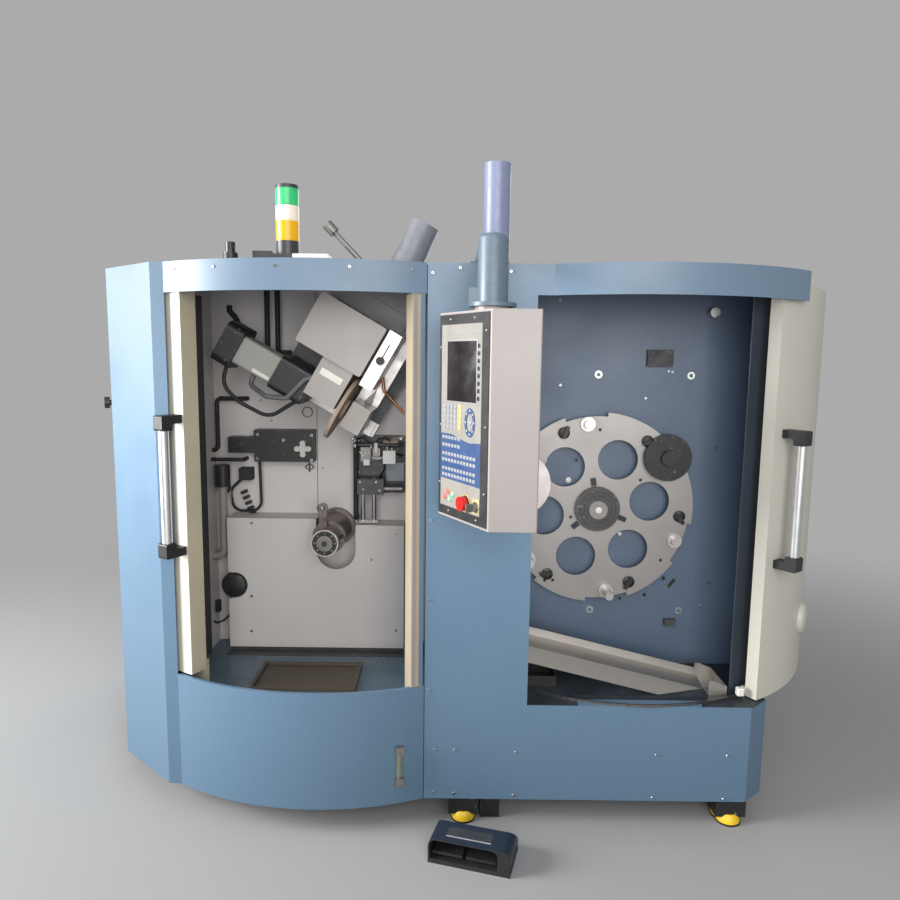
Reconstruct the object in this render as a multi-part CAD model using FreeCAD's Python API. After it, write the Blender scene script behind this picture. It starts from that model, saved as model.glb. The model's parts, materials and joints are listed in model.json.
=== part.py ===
"""Saw blade sharpening machine: a grinding bay and a blade magazine bay in one cabinet.

Lengths are in millimetres. The machine datum has X running right across the front,
Y running back from the flat front of the right bay, and Z up from the floor.
Every piece is moved at the end, so that the origin lies under the middle of the whole machine.
"""
import FreeCAD
import Part
import math
import os

# Cabinet as a whole
SHEET = 3.0
PANEL_BOTTOM = 85.0
ROOF_TOP = 1745.0
FASCIA_HEIGHT = 89.0
FASCIA_BOTTOM = ROOF_TOP - FASCIA_HEIGHT
FLOOR_TOP = 400.0
SEAM_X = -71.0
SEAM_GAP = 2.0
REAR_Y = 1300.0
CONTACT_GAP = 0.3
BORE_GAP = 0.05
OVERRUN = 5.0

# Left bay, whose front is an arc about the door's turning axis
LEFT_AXIS_X = -406.0
LEFT_SKIN_RADIUS = 875.0
LEFT_BULGE = 66.0
LEFT_AXIS_Y = LEFT_SKIN_RADIUS - LEFT_BULGE
LEFT_LIP_TOP = 460.0
LEFT_LIP_DEPTH = 8.0
STRIP_INNER_X = -860.0
STRIP_OUTER_X = -903.0
STRIP_OUTER_Y = 66.0
LEFT_SIDE_GAP = 11.0
LEFT_SIDE_X = LEFT_AXIS_X - LEFT_SKIN_RADIUS - LEFT_SIDE_GAP
LEFT_SIDE_DEPTH = 179.0
LEFT_SIDE_Y = LEFT_AXIS_Y - LEFT_SIDE_DEPTH
CHAMFER_REACH = 171.0
CHAMFER_X = LEFT_SIDE_X + CHAMFER_REACH
CHAMFER_DEPTH = 558.0
CHAMFER_Y = LEFT_AXIS_Y - CHAMFER_DEPTH
REAR_CORNER_REACH = 142.0
LEFT_REAR_CORNER_X = LEFT_SIDE_X + REAR_CORNER_REACH
LEFT_REAR_CORNER_Y = 1180.0
BAY_WALL_X = -865.0
BAY_WALL_START_Y = 190.0
BAY_BACK_Y = 500.0
BAY_JOINT_X = -489.0
BAY_JOINT_GAP = 2.0

# Right bay
POST_RIGHT_X = 250.0
POST_RETURN = 40.0
RIGHT_CHAMFER_X = 951.0
RIGHT_SIDE_X = 1022.0
RIGHT_CHAMFER_Y = 60.0
RIGHT_AXIS_X = 620.0
RIGHT_FASCIA_RADIUS = 735.0
RIGHT_BULGE = 75.0
RIGHT_AXIS_Y = RIGHT_FASCIA_RADIUS - RIGHT_BULGE
RIGHT_FASCIA_END_X = 1080.0
RIGHT_ROOF_STEP_Y = 900.0
RIGHT_WALL_START_X = 915.0
RIGHT_WALL_START_Y = 90.0
RIGHT_WALL_Y = 165.0
TAB_LEFT_X = 388.0
TAB_RIGHT_X = 810.0
TAB_Y = 56.0
TAB_HEIGHT = 8.0
MAGAZINE_WALL_Y = 330.0

# Base frame, feet and uprights
FRAME_TUBE = 80.0
FRAME_INSET = 40.0
UPRIGHT = 60.0
FOOT_BLOCK = 96.0
FOOT_BLOCK_BOTTOM = 24.0
FOOT_PAD_RADIUS = 44.0
FOOT_PAD_WAIST_RADIUS = 30.0
FOOT_PAD_RIM = 9.0
FOOT_FRONT_Y = 62.0
FOOT_REAR_Y = 1180.0
FOOT_COLUMN_X = (57.0, 913.0)
LEFT_FOOT_COLUMN_X = (-930.0, -230.0)
LEFT_FOOT_FRONT_Y = 420.0
JACK_X = 142.0
JACK_WIDTH = 62.0
JACK_DEPTH = 70.0
JACK_BOTTOM = 3.0

# Doors: angles are measured from straight ahead towards the right
DOOR_SKIN = 2.5
DOOR_RIM = 28.0
DOOR_STILE_ANGLE = 3.2
DOOR_TOP_GAP = 40.0
DOOR_TOP = ROOF_TOP - DOOR_TOP_GAP
LEFT_DOOR_TOP_GAP = 53.0
LEFT_DOOR_TOP = ROOF_TOP - LEFT_DOOR_TOP_GAP
LEFT_DOOR_BOTTOM = 464.0
RIGHT_DOOR_BOTTOM = 404.0
LEFT_DOOR_GAP = 13.0
LEFT_DOOR_RADIUS = LEFT_SKIN_RADIUS - LEFT_DOOR_GAP
LEFT_DOOR_DEPTH = 60.0
LEFT_DOOR_LEAD_X = -809.3
LEFT_DOOR_SPAN_ANGLE = 54.0
RIGHT_DOOR_GAP = 20.0
RIGHT_DOOR_RADIUS = RIGHT_FASCIA_RADIUS - RIGHT_DOOR_GAP
RIGHT_DOOR_DEPTH = 42.0
RIGHT_DOOR_LEAD_ANGLE = 30.5
RIGHT_DOOR_SPAN_ANGLE = 62.4
WINDOW_START_ANGLE = 9.0
WINDOW_END_ANGLE = 45.0
WINDOW_BOTTOM = 780.0
WINDOW_TOP = 1540.0
WINDOW_LAP = 16.0
WINDOW_THICKNESS = 6.0
EDGE_SEAL_DEPTH = 26.0
EDGE_SEAL_ANGLE = 0.55
EDGE_SEAL_END = 40.0
RAIL_WIDTH = 7.0
RAIL_OFFSET = 9.0
LOWER_RAIL_HEIGHT = 8.0
RAIL_ARM = 8.0
SHOE_ANGLE = 4.0
SHOE_END_ANGLE = 1.0
SHOE_WALL = 7.0
SHOE_HEIGHT = 20.0
SHOE_CLEARANCE = 2.0
RAIL_RUNOUT_ANGLE = 1.0

# Door handles
HANDLE_RADIUS = 15.0
HANDLE_STANDOFF = 55.0
BRACKET_WALL = 4.0
BRACKET_HEIGHT = 26.0
BRACKET_SOCKET = 46.0
BRACKET_EDGE_RADIUS = 6.0
LEFT_HANDLE_ANGLE = 1.6
RIGHT_HANDLE_ANGLE = 4.6
LEFT_HANDLE_LOW = 869.0
LEFT_HANDLE_HIGH = 1279.0
RIGHT_HANDLE_LOW = 845.0
RIGHT_HANDLE_HIGH = 1255.0

# Seal posts beside the two openings
SEAL_POST_LEFT_X = -112.0
SEAL_POST_RIGHT_X = -76.5
SEAL_POST_DEPTH = 68.0

# Lower cover of the grinding bay, with its U-shaped cut round the arbor
COVER_FRONT_Y = 400.0
COVER_LEFT_X = -798.0
COVER_RIGHT_X = -162.0
COVER_TOP = 894.0
COVER_RIGHT_TOP = 872.0
U_LEFT_X = -478.0
U_RADIUS = 71.0
U_CENTRE_Z = 780.0
NOTCH_Z = 645.0
NOTCH_RADIUS = 50.0

# Mesh tray on the floor of the grinding bay
TRAY_LEFT_X = -640.0
TRAY_RIGHT_X = -297.0
TRAY_FRONT_Y = 74.0
TRAY_BACK_Y = 280.0
TRAY_HEIGHT = 10.0
TRAY_RIM = 12.0

# Arbor that carries the blade
ARBOR_X = -419.0
ARBOR_Z = 847.0
ARBOR_FRONT_Y = 236.0
ARBOR_DISC_RADIUS = 46.0
ARBOR_DISC = 14.0
ARBOR_RIM = 4.0
ARBOR_DIAL_RADIUS = 27.0
ARBOR_DIAL = 7.0
ARBOR_NOSE_RADIUS = 9.0
ARBOR_NOSE = 12.0
ARBOR_COLLAR_RADIUS = 36.0
ARBOR_COLLAR = 30.0
ARBOR_SHAFT_RADIUS = 22.0
ARBOR_SHAFT = 60.0
HOUSING_RADIUS = 58.0
HOUSING_NOSE_RADIUS = 44.0
HOUSING_NOSE = 46.0
HOUSING_FOOT_RADIUS = 70.0
HOUSING_FOOT = 24.0
LUG_WIDTH = 26.0
LUG_REACH = 112.0
LUG_RING_RADIUS = 16.0
LUG_RING_HOLE = 9.0
LUG_THICKNESS = 12.0
NOZZLE_RADIUS = 8.0
NOZZLE_LENGTH = 54.0
NOZZLE_OFFSET = 52.0

# Grinding head, laid out square and then tilted about the wheel's centre
WHEEL_X = -359.0
WHEEL_Y = 260.0
WHEEL_Z = 1303.0
HEAD_TILT = 30.0
WHEEL_RADIUS = 112.0
WHEEL_THICKNESS = 12.0
WHEEL_HUB_RADIUS = 36.0
WHEEL_HUB = 10.0
SPINDLE_RADIUS = 14.0
SPINDLE_LENGTH = 40.0
TURRET_RADIUS = 120.0
TURRET_DEPTH = 28.0
PLATE_THICKNESS = 22.0
PLATE_LEFT = -262.0
PLATE_RIGHT = 126.0
PLATE_LOW = -62.0
PLATE_HIGH = 300.0
HEAD_RAIL_WIDTH = 24.0
HEAD_RAIL_DEPTH = 20.0
LEFT_RAIL_U = -238.0
RIGHT_RAIL_U = 104.0
CARRIAGE_THICKNESS = 20.0
CARRIAGE_LOW = -6.0
CARRIAGE_HIGH = 236.0
RUNNER_LENGTH = 70.0
RUNNER_WIDTH = 44.0
COVER_BOX_LEFT = -224.0
COVER_BOX_RIGHT = 8.0
COVER_BOX_LOW = 126.0
COVER_BOX_HIGH = 300.0
COVER_BOX_FRONT_Y = 150.0
BOX_LEFT = -126.0
BOX_RIGHT = -16.0
BOX_LOW = -8.0
BOX_FRONT_Y = 176.0
HEAD_EDGE_RADIUS = 6.0
MOTOR_LEFT = -378.0
MOTOR_RIGHT = -242.0
MOTOR_HALF = 48.0
MOTOR_CORNER = 10.0
MOTOR_CAP = 62.0
MOTOR_CAP_MARGIN = 22.0
MOTOR_CAP_CORNER = 26.0
COUPLING_HALF = 58.0
COUPLING_CORNER = 16.0
GUARD_PLATE_LEFT = 14.0
GUARD_PLATE_RIGHT = 60.0
GUARD_PLATE_LOW = 102.0
GUARD_PLATE_HIGH = 304.0
GUARD_FRONT_Y = 190.0
GUARD_BACK_Y = 380.0
GUARD_BOX_LEFT = 26.0
GUARD_BOX_RIGHT = 92.0
GUARD_BOX_LOW = -46.0
GUARD_BOX_HIGH = 46.0
GUARD_BOX_FRONT_Y = 200.0
GUARD_KNOB_RADIUS = 13.0
GUARD_KNOB = 22.0
LOOP_HOSE_RADIUS = 6.5
LOOP_HOSE_BEND = 60.0
LOOP_HOSE_Y = 235.0
LOOP_HOSE_LINE = ((-392.0, -68.0), (-375.0, -132.0), (-300.0, -152.0), (-190.0, -148.0), (-141.0, -56.0))
GREY_HOSE_RADIUS = 8.0
GREY_HOSE_BEND = 20.0
GREY_HOSE_LINE = ((-300.0, 240.0, -47.0), (-300.0, 240.0, -84.0), (-225.0, 190.0, -84.0),
                  (-165.0, 190.0, -56.0), (-142.0, 190.0, 28.0), (-124.0, 190.0, 48.0))
COOLANT_PIPE_RADIUS = 5.0
COOLANT_PIPE_BEND = 20.0
COOLANT_PIPE_LINE = ((58.0, 350.0, 150.0), (84.0, 350.0, 112.0), (184.0, 330.0, 82.0))

# Gear unit with its star knob
GEAR_FRONT_Y = 440.0
GEAR_LEFT_X = -800.0
GEAR_STEP_X = -706.0
GEAR_RIGHT_X = -492.0
GEAR_LOW = 1094.0
GEAR_HIGH = 1208.0
GEAR_ARM_LOW = 1124.0
GEAR_ARM_HIGH = 1181.0
STAR_X = -527.0
STAR_Z = 1144.0
STAR_LOBE_COUNT = 4
STAR_LOBE_RADIUS = 10.0
STAR_LOBE_CIRCLE_RADIUS = 20.0
STAR_HUB_RADIUS = 15.0
STAR_THICKNESS = 20.0
STAR_SHAFT_RADIUS = 6.0
STAR_SHAFT = 30.0

# Clamping unit at the right of the grinding bay
CLAMP_LEFT_X = -350.0
CLAMP_RIGHT_X = -162.0
CLAMP_LOW = 978.0
CLAMP_HIGH = 1190.0
CLAMP_PLATE = 16.0
CLAMP_ROD_RADIUS = 9.0
CLAMP_ROD_X = (-312.0, -272.0)
CLAMP_ROD_Y = 430.0
CLAMP_HEAD_X = (-330.0, -236.0)
CLAMP_HEAD_LOW = 985.0
CLAMP_HEAD_HIGH = 1040.0
CLAMP_HEAD_FRONT_Y = 404.0
VALVE_X = (-236.0, -192.0)
VALVE_LOW = 1100.0
VALVE_HIGH = 1146.0
VALVE_FRONT_Y = 380.0
CYLINDER_RADIUS = 14.0
CYLINDER_X = (-242.0, -188.0)
CYLINDER_Y = 472.0
CYLINDER_Z = 1164.0
LOW_CYLINDER_X = (-240.0, -172.0)
LOW_CYLINDER_Y = 440.0
LOW_CYLINDER_Z = 1000.0
CLAMP_BLOCKS = (((-322.0, -286.0), (1098.0, 1150.0)), ((-276.0, -252.0), (1106.0, 1148.0)))
CLAMP_BLOCK_FRONT_Y = 442.0
CLAMP_TUBE_RADIUS = 7.0
CLAMP_TUBE_BEND = 16.0
CLAMP_TUBE_X = (-340.0, -176.0)
CLAMP_TUBE_Y = 438.0
CLAMP_TUBE_Z = 1160.0
DOWN_HOSE_RADIUS = 9.0
DOWN_HOSE_BEND = 16.0
DOWN_HOSE_X = -342.0
DOWN_HOSE_Y = 460.0
DOWN_HOSE_HIGH = 1158.0
DOWN_HOSE_LOW = 884.0
CLAMP_FOOT_X = (-326.0, -258.0)
CLAMP_FOOT_DEPTH = 24.0
CLAMP_FOOT = 10.0
CLAMP_FOOT_LOW = 877.0

# Pipes and fittings on the left of the grinding bay
CONDUIT_X = -826.0
CONDUIT_Y = 452.0
CONDUIT_RADIUS = 14.0
CONDUIT_TOP = 1000.0
CONDUIT_LOW = 740.0
CONDUIT_BEND = 24.0
FITTING_RADIUS = 27.0
FITTING_TOP = 1078.0
CONNECTOR_X = (-768.0, -722.0)
CONNECTOR_LOW = 1022.0
CONNECTOR_HIGH = 1066.0
CONNECTOR_DEPTH = 46.0
WALL_PIPE_Y = 470.0
WALL_PIPE_RADIUS = 8.0
WALL_PIPE_BEND = 18.0
WALL_PIPE_LINE = ((-845.0, 1130.0), (-845.0, 1318.0), (-742.0, 1318.0))
SHORT_PIPE_RADIUS = 7.0
SHORT_PIPE_END_X = -748.0
SHORT_PIPE_Z = 1098.0
CABLE_RADIUS = 5.0
CABLE_BEND = 38.0
CABLE_LINE = ((-695.0, 1100.0), (-690.0, 906.0), (-794.0, 906.0), (-804.0, 984.0), (-756.0, 1030.0))
DROP_PIPE_X = (-655.0, -618.0)
DROP_PIPE_RADIUS = 9.0
DROP_PIPE_Y = 462.0
DROP_PIPE_BOTTOM = 1420.0
DROP_BAR_HALF = 60.0
DROP_BAR_HEIGHT = 16.0
DROP_BAR_Z = 1478.0

# Magazine wheel
MAGAZINE_X = 505.0
MAGAZINE_Z = 968.0
MAGAZINE_RADIUS = 330.0
MAGAZINE_STEP = 14.0
MAGAZINE_STEP_ANGLE = 17.0
MAGAZINE_THICKNESS = 6.0
MAGAZINE_FACE_Y = 294.0
STATION_COUNT = 6
WINDOW_RADIUS = 68.0
WINDOW_CIRCLE_RADIUS = 181.0
WINDOW_ANGLE = 8.5
STATION_CIRCLE_RADIUS = 292.0
STATION_ANGLE = -22.0
KNOB_CIRCLE_RADIUS = 285.0
KNOB_ANGLE = -6.2
HUB_RADIUS = 76.0
HUB_THICKNESS = 20.0
HUB_CAP_RADIUS = 31.0
HUB_CAP = 14.0
MAGAZINE_SHAFT_RADIUS = 24.0
BEARING_RADIUS = 58.0
CLIP_COUNT = 3
CLIP_ANGLE = -21.0
CLIP_CIRCLE_RADIUS = 93.0
CLIP_LENGTH = 26.0
CLIP_WIDTH = 16.0
CLIP_THICKNESS = 12.0
PEG_RADIUS = 25.0
PEG_STEP_RADIUS = 14.0
PEG_BASE = 8.0
SHORT_PEG = 16.0
LONG_PEG = 62.0
LONG_PEG_STATIONS = (4, 5)
FLANGE_STATION = 1
FLANGE_RADIUS = 79.0
FLANGE_THICKNESS = 18.0
FLANGE_BOSS_RADIUS = 26.0
FLANGE_BOSS = 14.0
WING_RADIUS = 9.0
WING_HEIGHT = 18.0
WING_SPAN = 44.0
WING_WIDTH = 12.0
WING_TURN = 45.0
STEP_REACH = 400.0
WING_FOOT = 6.0

# Loader between the bays
LOADER_Z = 1072.0
LOADER_BEAM_LEFT_X = -60.0
LOADER_BEAM_RIGHT_X = 236.0
LOADER_BEAM_HEIGHT = 70.0
LOADER_BEAM_DEPTH = 24.0
LOADER_STAND_Y = 30.0
LOADER_CAR_X = 88.0
LOADER_CAR_WIDTH = 60.0
LOADER_CAR_DEPTH = 26.0
LOADER_LIP = 8.0
LOADER_ARM_HEIGHT = 36.0
LOADER_ARM_DEPTH = 16.0
GRIPPER_X = 222.0
GRIPPER_Y = 160.0
GRIPPER_RADIUS = 104.0
GRIPPER_THICKNESS = 8.0
GRIPPER_BOSS_RADIUS = 34.0
MAGNET_RADIUS = 12.0
MAGNET_HEIGHT = 10.0
MAGNET_CIRCLE_RADIUS = 70.0
MAGNET_COUNT = 3
TRANSFER_FRONT_Y = 70.0
TRANSFER_BACK_Y = 290.0
TRANSFER_LOW = 780.0
TRANSFER_HIGH = 1330.0

# Discharge chute of the magazine bay
CHUTE_SLOPE = 13.7
CHUTE_LEFT_X = 238.0
CHUTE_LENGTH = 624.0
CHUTE_BACK_Y = 200.0
CHUTE_FOLD_Y = 130.0
CHUTE_FRONT_Y = 84.0
CHUTE_BACK_Z = 562.0
CHUTE_FOLD_Z = 547.0
CHUTE_FRONT_Z = 509.0
CHUTE_LIP = 26.0
HOPPER_LEFT_X = 846.0
HOPPER_RIGHT_X = 905.0
HOPPER_TOP_X = 862.0
HOPPER_HEIGHT = 48.0
HOPPER_RISE = 30.0

# Fittings on the back wall of the magazine bay
SOCKET_X = 706.0
SOCKET_Z = 1481.0
SOCKET_WIDTH = 88.0
SOCKET_HEIGHT = 56.0
SOCKET_DEPTH = 14.0
WALL_BOLT_LEFT_X = 501.0
WALL_BOLT_RIGHT_X = 815.0
WALL_BOLT_LOW_Z = 596.5
WALL_BOLT_HIGH_Z = 1423.5
WALL_BOLT_RADIUS = 13.0
WALL_BOLT = 5.0
LAMP_X = 873.0
LAMP_Z = 1633.0
LAMP_RADIUS = 16.0
LAMP_LENGTH = 40.0
SENSOR_X = 784.0
SENSOR_Z = 556.0
SENSOR_WIDTH = 40.0
SENSOR_HEIGHT = 22.0
SENSOR_DEPTH = 20.0
BIN_LEFT_X = 256.0
BIN_RIGHT_X = 360.0
BIN_FRONT_Y = 136.0
BIN_BACK_Y = 236.0
BIN_HEIGHT = 34.0
BIN_WALL = 4.0

# Operator console on its elbow arm
ARM_X = 106.0
ARM_Y = -220.0
ARM_RADIUS = 40.0
ARM_TOP = 1788.0
ARM_EDGE_RADIUS = 12.0
ARM_BEAM_WIDTH = 72.0
ARM_BEAM_BACK_Y = 196.0
ARM_FOOT_WIDTH = 124.0
ARM_FOOT_FRONT_Y = 14.0
ARM_FOOT_BACK_Y = 216.0
ARM_FOOT = 6.0
ARM_FLANGE_RADIUS = 62.0
ARM_FLANGE = 10.0
CONSOLE_TOP = 1592.0
CONSOLE_BOTTOM = 1037.0
CONSOLE_NECK_RADIUS = 46.0
CONSOLE_NECK = 12.0
CONSOLE_PIN_RADIUS = 20.0
CONSOLE_PIN = 24.0
CONSOLE_FRONT_Y = -350.0
CONSOLE_FACE_RIGHT_X = 98.0
CONSOLE_RIGHT_X = 222.0
CONSOLE_REAR_RIGHT_X = 238.0
CONSOLE_REAR_RIGHT_Y = -206.0
CONSOLE_REAR_X = 66.0
CONSOLE_REAR_Y = -82.0
CONSOLE_LEFT_X = -32.0
CONSOLE_LEFT_Y = -129.0
CONSOLE_CORNERS = (
    (CONSOLE_FACE_RIGHT_X, CONSOLE_FRONT_Y), (CONSOLE_RIGHT_X, CONSOLE_FRONT_Y),
    (CONSOLE_REAR_RIGHT_X, CONSOLE_REAR_RIGHT_Y), (CONSOLE_REAR_X, CONSOLE_REAR_Y),
    (CONSOLE_LEFT_X, CONSOLE_LEFT_Y),
)
CONSOLE_EDGE_RADIUS = 4.0
FACE_MARGIN = 6.0
FACE_RECESS = 3.0
FACE_THICKNESS = 5.0
BEZEL_LEFT = 9.0
BEZEL_RIGHT = 32.0
BEZEL_TOP = 26.0
BEZEL_BOTTOM = 24.0
SCREEN_LEFT_MARGIN = 42.0
SCREEN_RIGHT_MARGIN = 56.0
SCREEN_TOP_MARGIN = 70.0
SCREEN_HEIGHT = 158.0
SCREEN_RECESS = 2.0
ESTOP_OFFSET = 150.0
ESTOP_Z = 1092.0
ESTOP_RADIUS = 19.0
ESTOP_HEAD = 15.0
ESTOP_STEM_RADIUS = 11.0
ESTOP_STEM = 12.0
ESTOP_TRAVEL = 5.0
CONTROL_WELL = 24.0
KEY_OFFSET = 200.0
KEY_Z = 1090.0
KEY_RADIUS = 10.0
KEY_HEIGHT = 7.0
KEY_BOW_WIDTH = 4.0
KEY_BOW = 24.0
LATCH_BLOCK_WIDTH = 24.0
LATCH_BLOCK_HEIGHT = 38.0

# Signal tower and the other pieces on the roof
TOWER_X = -507.0
TOWER_Y = 150.0
TOWER_RADIUS = 35.0
TOWER_PLATE_LEFT = 42.0
TOWER_PLATE_RIGHT = 130.0
TOWER_PLATE_DEPTH = 45.0
TOWER_PLATE = 34.0
TOWER_BASE_TOP = 1821.0
TOWER_AMBER = 59.0
TOWER_CLEAR = 45.0
TOWER_GREEN = 51.0
TOWER_CAP = 11.0
TOWER_BOX_WIDTH = 56.0
TOWER_BOX_HEIGHT = 42.0
VENT_X = -669.0
VENT_Y = 100.0
VENT_RADIUS = 15.0
VENT_BASE_RADIUS = 22.0
VENT_BASE = 34.0
VENT_TOP = 1810.0
STALK_X = -262.0
STALK_Y = 100.0
STALK_RADIUS = 8.0
STALK_BASE_RADIUS = 30.0
STALK_BASE = 12.0
STALK_RISE = 96.0
STALK_RUN = -92.0
STALK_HEAD_RADIUS = 16.0
STALK_HEAD = 34.0
STUB_X = -146.0
STUB_Y = 150.0
STUB_RADIUS = 45.0
STUB_WALL = 3.0
STUB_LEAN = 24.6
STUB_LENGTH = 145.0
STUB_ROOT_RADIUS = 49.0
STUB_ROOT = 40.0
STUB_COLLAR_RADIUS = 62.0
STUB_COLLAR = 6.0
DUCT_X = 145.0
DUCT_Y = 330.0
DUCT_RADIUS = 44.0
DUCT_TOP = 2105.0
DUCT_COLLAR_RADIUS = 58.0
DUCT_COLLAR = 30.0
WALL_NOTCH = 45.0

# Oil level gauge on the curved lower panel
GAUGE_ANGLE = 17.2
GAUGE_LOW = 150.0
GAUGE_HIGH = 278.0
GAUGE_WIDTH = 26.0
GAUGE_DEPTH = 16.0
GAUGE_TUBE_RADIUS = 9.0
GAUGE_END = 24.0

# Knob on the left side of the cabinet
LATCH_Z = 1311.0
LATCH_RADIUS = 19.0
LATCH_HEIGHT = 16.0
LATCH_NECK_RADIUS = 9.0
LATCH_NECK = 6.0
LATCH_SETBACK = 34.0

# Rear panels
VENT_SLOT_COUNT = 8
VENT_SLOT_LENGTH = 260.0
VENT_SLOT_HEIGHT = 8.0
VENT_SLOT_STEP = 24.0
VENT_SLOT_BOTTOM = 300.0
REAR_PANEL_GAP = 3.0

# Foot switch, laid out square and then turned
PEDAL_X = -51.0
PEDAL_Y = -178.0
PEDAL_TURN = -15.4
PEDAL_WIDTH = 246.0
PEDAL_DEPTH = 128.0
PEDAL_HEIGHT = 78.0
PEDAL_BACK_HEIGHT = 36.0
PEDAL_BACK_SLOPE = 38.0
PEDAL_CORNER = 26.0
PEDAL_ROOM_CORNER = 18.0
PEDAL_WALL = 5.0
PEDAL_PILLAR = 38.0
PEDAL_BASE = 14.0
RIB_FRONT_Y = 60.0
RIB_HEIGHT = 52.0
RIB_WIDTH = 4.0
TREADLE_GAP = 6.0
TREADLE_THICKNESS = 8.0
TREADLE_FRONT = 14.0
TREADLE_PIVOT_Y = 100.0
TREADLE_PIVOT_Z = 26.0
TREADLE_PIN_RADIUS = 4.0
TREADLE_BOSS_RADIUS = 7.0


def vec(x, y, z):
    return FreeCAD.Vector(x, y, z)


UP = vec(0, 0, 1)
BACK = vec(0, 1, 0)
RIGHT = vec(1, 0, 0)
LEFT_AXIS = (LEFT_AXIS_X, LEFT_AXIS_Y)
RIGHT_AXIS = (RIGHT_AXIS_X, RIGHT_AXIS_Y)
CEILING = ROOF_TOP - SHEET
SMALL = 1e-6
FULL_TURN = 360


def box(x_range, y_range, z_range):
    """Box between two X, two Y and two Z values."""
    size = [high - low for low, high in (x_range, y_range, z_range)]
    return Part.makeBox(*size, vec(x_range[0], y_range[0], z_range[0]))


def rod(radius, start, direction, length):
    return Part.makeCylinder(radius, length, start, direction)


def bent_pipe(radius, bend, points):
    """Round bar through points in space, with the same bend at every corner."""
    edges = []
    here = points[0]
    for before, corner, after in zip(points, points[1:], points[2:]):
        back = (before - corner) / (before - corner).Length
        onward = (after - corner) / (after - corner).Length
        half = back.getAngle(onward) / 2
        reach = bend / math.tan(half)
        inward = (back + onward) / (back + onward).Length
        middle = corner + inward * (bend / math.sin(half) - bend)
        edges.append(Part.LineSegment(here, corner + back * reach).toShape())
        edges.append(Part.Arc(corner + back * reach, middle, corner + onward * reach).toShape())
        here = corner + onward * reach
    edges.append(Part.LineSegment(here, points[-1]).toShape())
    ring = Part.Wire(Part.Circle(points[0], points[1] - points[0], radius).toShape())
    return Part.Wire(edges).makePipe(Part.Face(ring))


def around(axis, radius, turn):
    """Plan point at a radius and a turn from straight ahead, positive to the right."""
    angle = math.radians(turn)
    return (axis[0] + radius * math.sin(angle), axis[1] - radius * math.cos(angle))


def turn_at(axis, radius, x):
    """Turn at which a circle about an axis meets a given X on its front side."""
    return math.degrees(math.asin((x - axis[0]) / radius))


LEFT_DOOR_LEAD_ANGLE = turn_at(LEFT_AXIS, LEFT_DOOR_RADIUS, LEFT_DOOR_LEAD_X)
SEAL_POST_START_ANGLE = turn_at(LEFT_AXIS, LEFT_SKIN_RADIUS - SHEET, SEAL_POST_LEFT_X)
SEAL_POST_END_ANGLE = turn_at(LEFT_AXIS, LEFT_SKIN_RADIUS - SHEET, SEAL_POST_RIGHT_X)


def outline(start, steps):
    """Closed plan wire: a step is a corner, or a pair of a point on an arc and its end."""
    edges = []
    here = start
    for step in steps:
        if isinstance(step[0], tuple):
            middle, end = step
            edges.append(Part.Arc(vec(*here, 0), vec(*middle, 0), vec(*end, 0)).toShape())
            here = end
        else:
            edges.append(Part.LineSegment(vec(*here, 0), vec(*step, 0)).toShape())
            here = step
    edges.append(Part.LineSegment(vec(*here, 0), vec(*start, 0)).toShape())
    return Part.Wire(edges)


def standing(wire, low, high):
    """Solid that rises from a plan wire between two heights."""
    solid = Part.Face(wire).extrude(UP * (high - low))
    solid.translate(UP * low)
    return solid


def plan_prism(corners, low, high):
    return standing(outline(corners[0], corners[1:]), low, high)


def front_prism(corners, front, back):
    """Solid with an outline in X and Z that runs back from one Y to another."""
    points = [vec(x, front, z) for x, z in corners]
    wire = Part.makePolygon(points + points[:1])
    return Part.Face(wire).extrude(BACK * (back - front))


def side_prism(corners, left, right):
    """Solid with an outline in Y and Z that runs right from one X to another."""
    points = [vec(left, y, z) for y, z in corners]
    wire = Part.makePolygon(points + points[:1])
    return Part.Face(wire).extrude(RIGHT * (right - left))


def sector(axis, inner, outer, start, end, low, high):
    """Part of a standing ring between two radii, two turns and two heights."""
    middle = (start + end) / 2
    edge = outline(around(axis, outer, start), [
        (around(axis, outer, middle), around(axis, outer, end)),
        around(axis, inner, end),
        (around(axis, inner, middle), around(axis, inner, start)),
    ])
    return standing(edge, low, high)


def inset_line(corners, depth):
    """The corners of a plan line moved sideways, to the left of its direction of travel."""
    normals = []
    for (x0, y0), (x1, y1) in zip(corners, corners[1:]):
        length = math.hypot(x1 - x0, y1 - y0)
        normals.append(((y0 - y1) / length, (x1 - x0) / length))
    moved = []
    for index, (x, y) in enumerate(corners):
        before = normals[max(index - 1, 0)]
        after = normals[min(index, len(normals) - 1)]
        share = depth / (1 + before[0] * after[0] + before[1] * after[1])
        moved.append((x + (before[0] + after[0]) * share, y + (before[1] + after[1]) * share))
    return moved


def folded_sheet(corners, thickness, low, high):
    """Standing sheet folded along a plan line, with its thickness on the left of the line."""
    return plan_prism(list(corners) + inset_line(corners, thickness)[::-1], low, high)


def rounded(shape, direction, radius):
    """The shape with its straight edges along one direction rounded."""
    edges = []
    for edge in shape.Edges:
        if edge.Curve.TypeId != "Part::GeomLine":
            continue
        if edge.tangentAt(edge.FirstParameter).cross(direction).Length < SMALL:
            edges.append(edge)
    return shape.makeFillet(radius, edges)


def fused(*shapes):
    """One solid from shapes that touch, with its coplanar faces joined."""
    return shapes[0].multiFuse(list(shapes[1:])).removeSplitter()


def polar(centre_x, centre_z, radius, angle):
    """Point of a circle seen from the front, with angles counted up from the right."""
    a = math.radians(angle)
    return (centre_x + radius * math.cos(a), centre_z + radius * math.sin(a))


def save(name, *shapes):
    PIECES[name] = list(shapes)


PIECES = {}


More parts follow.
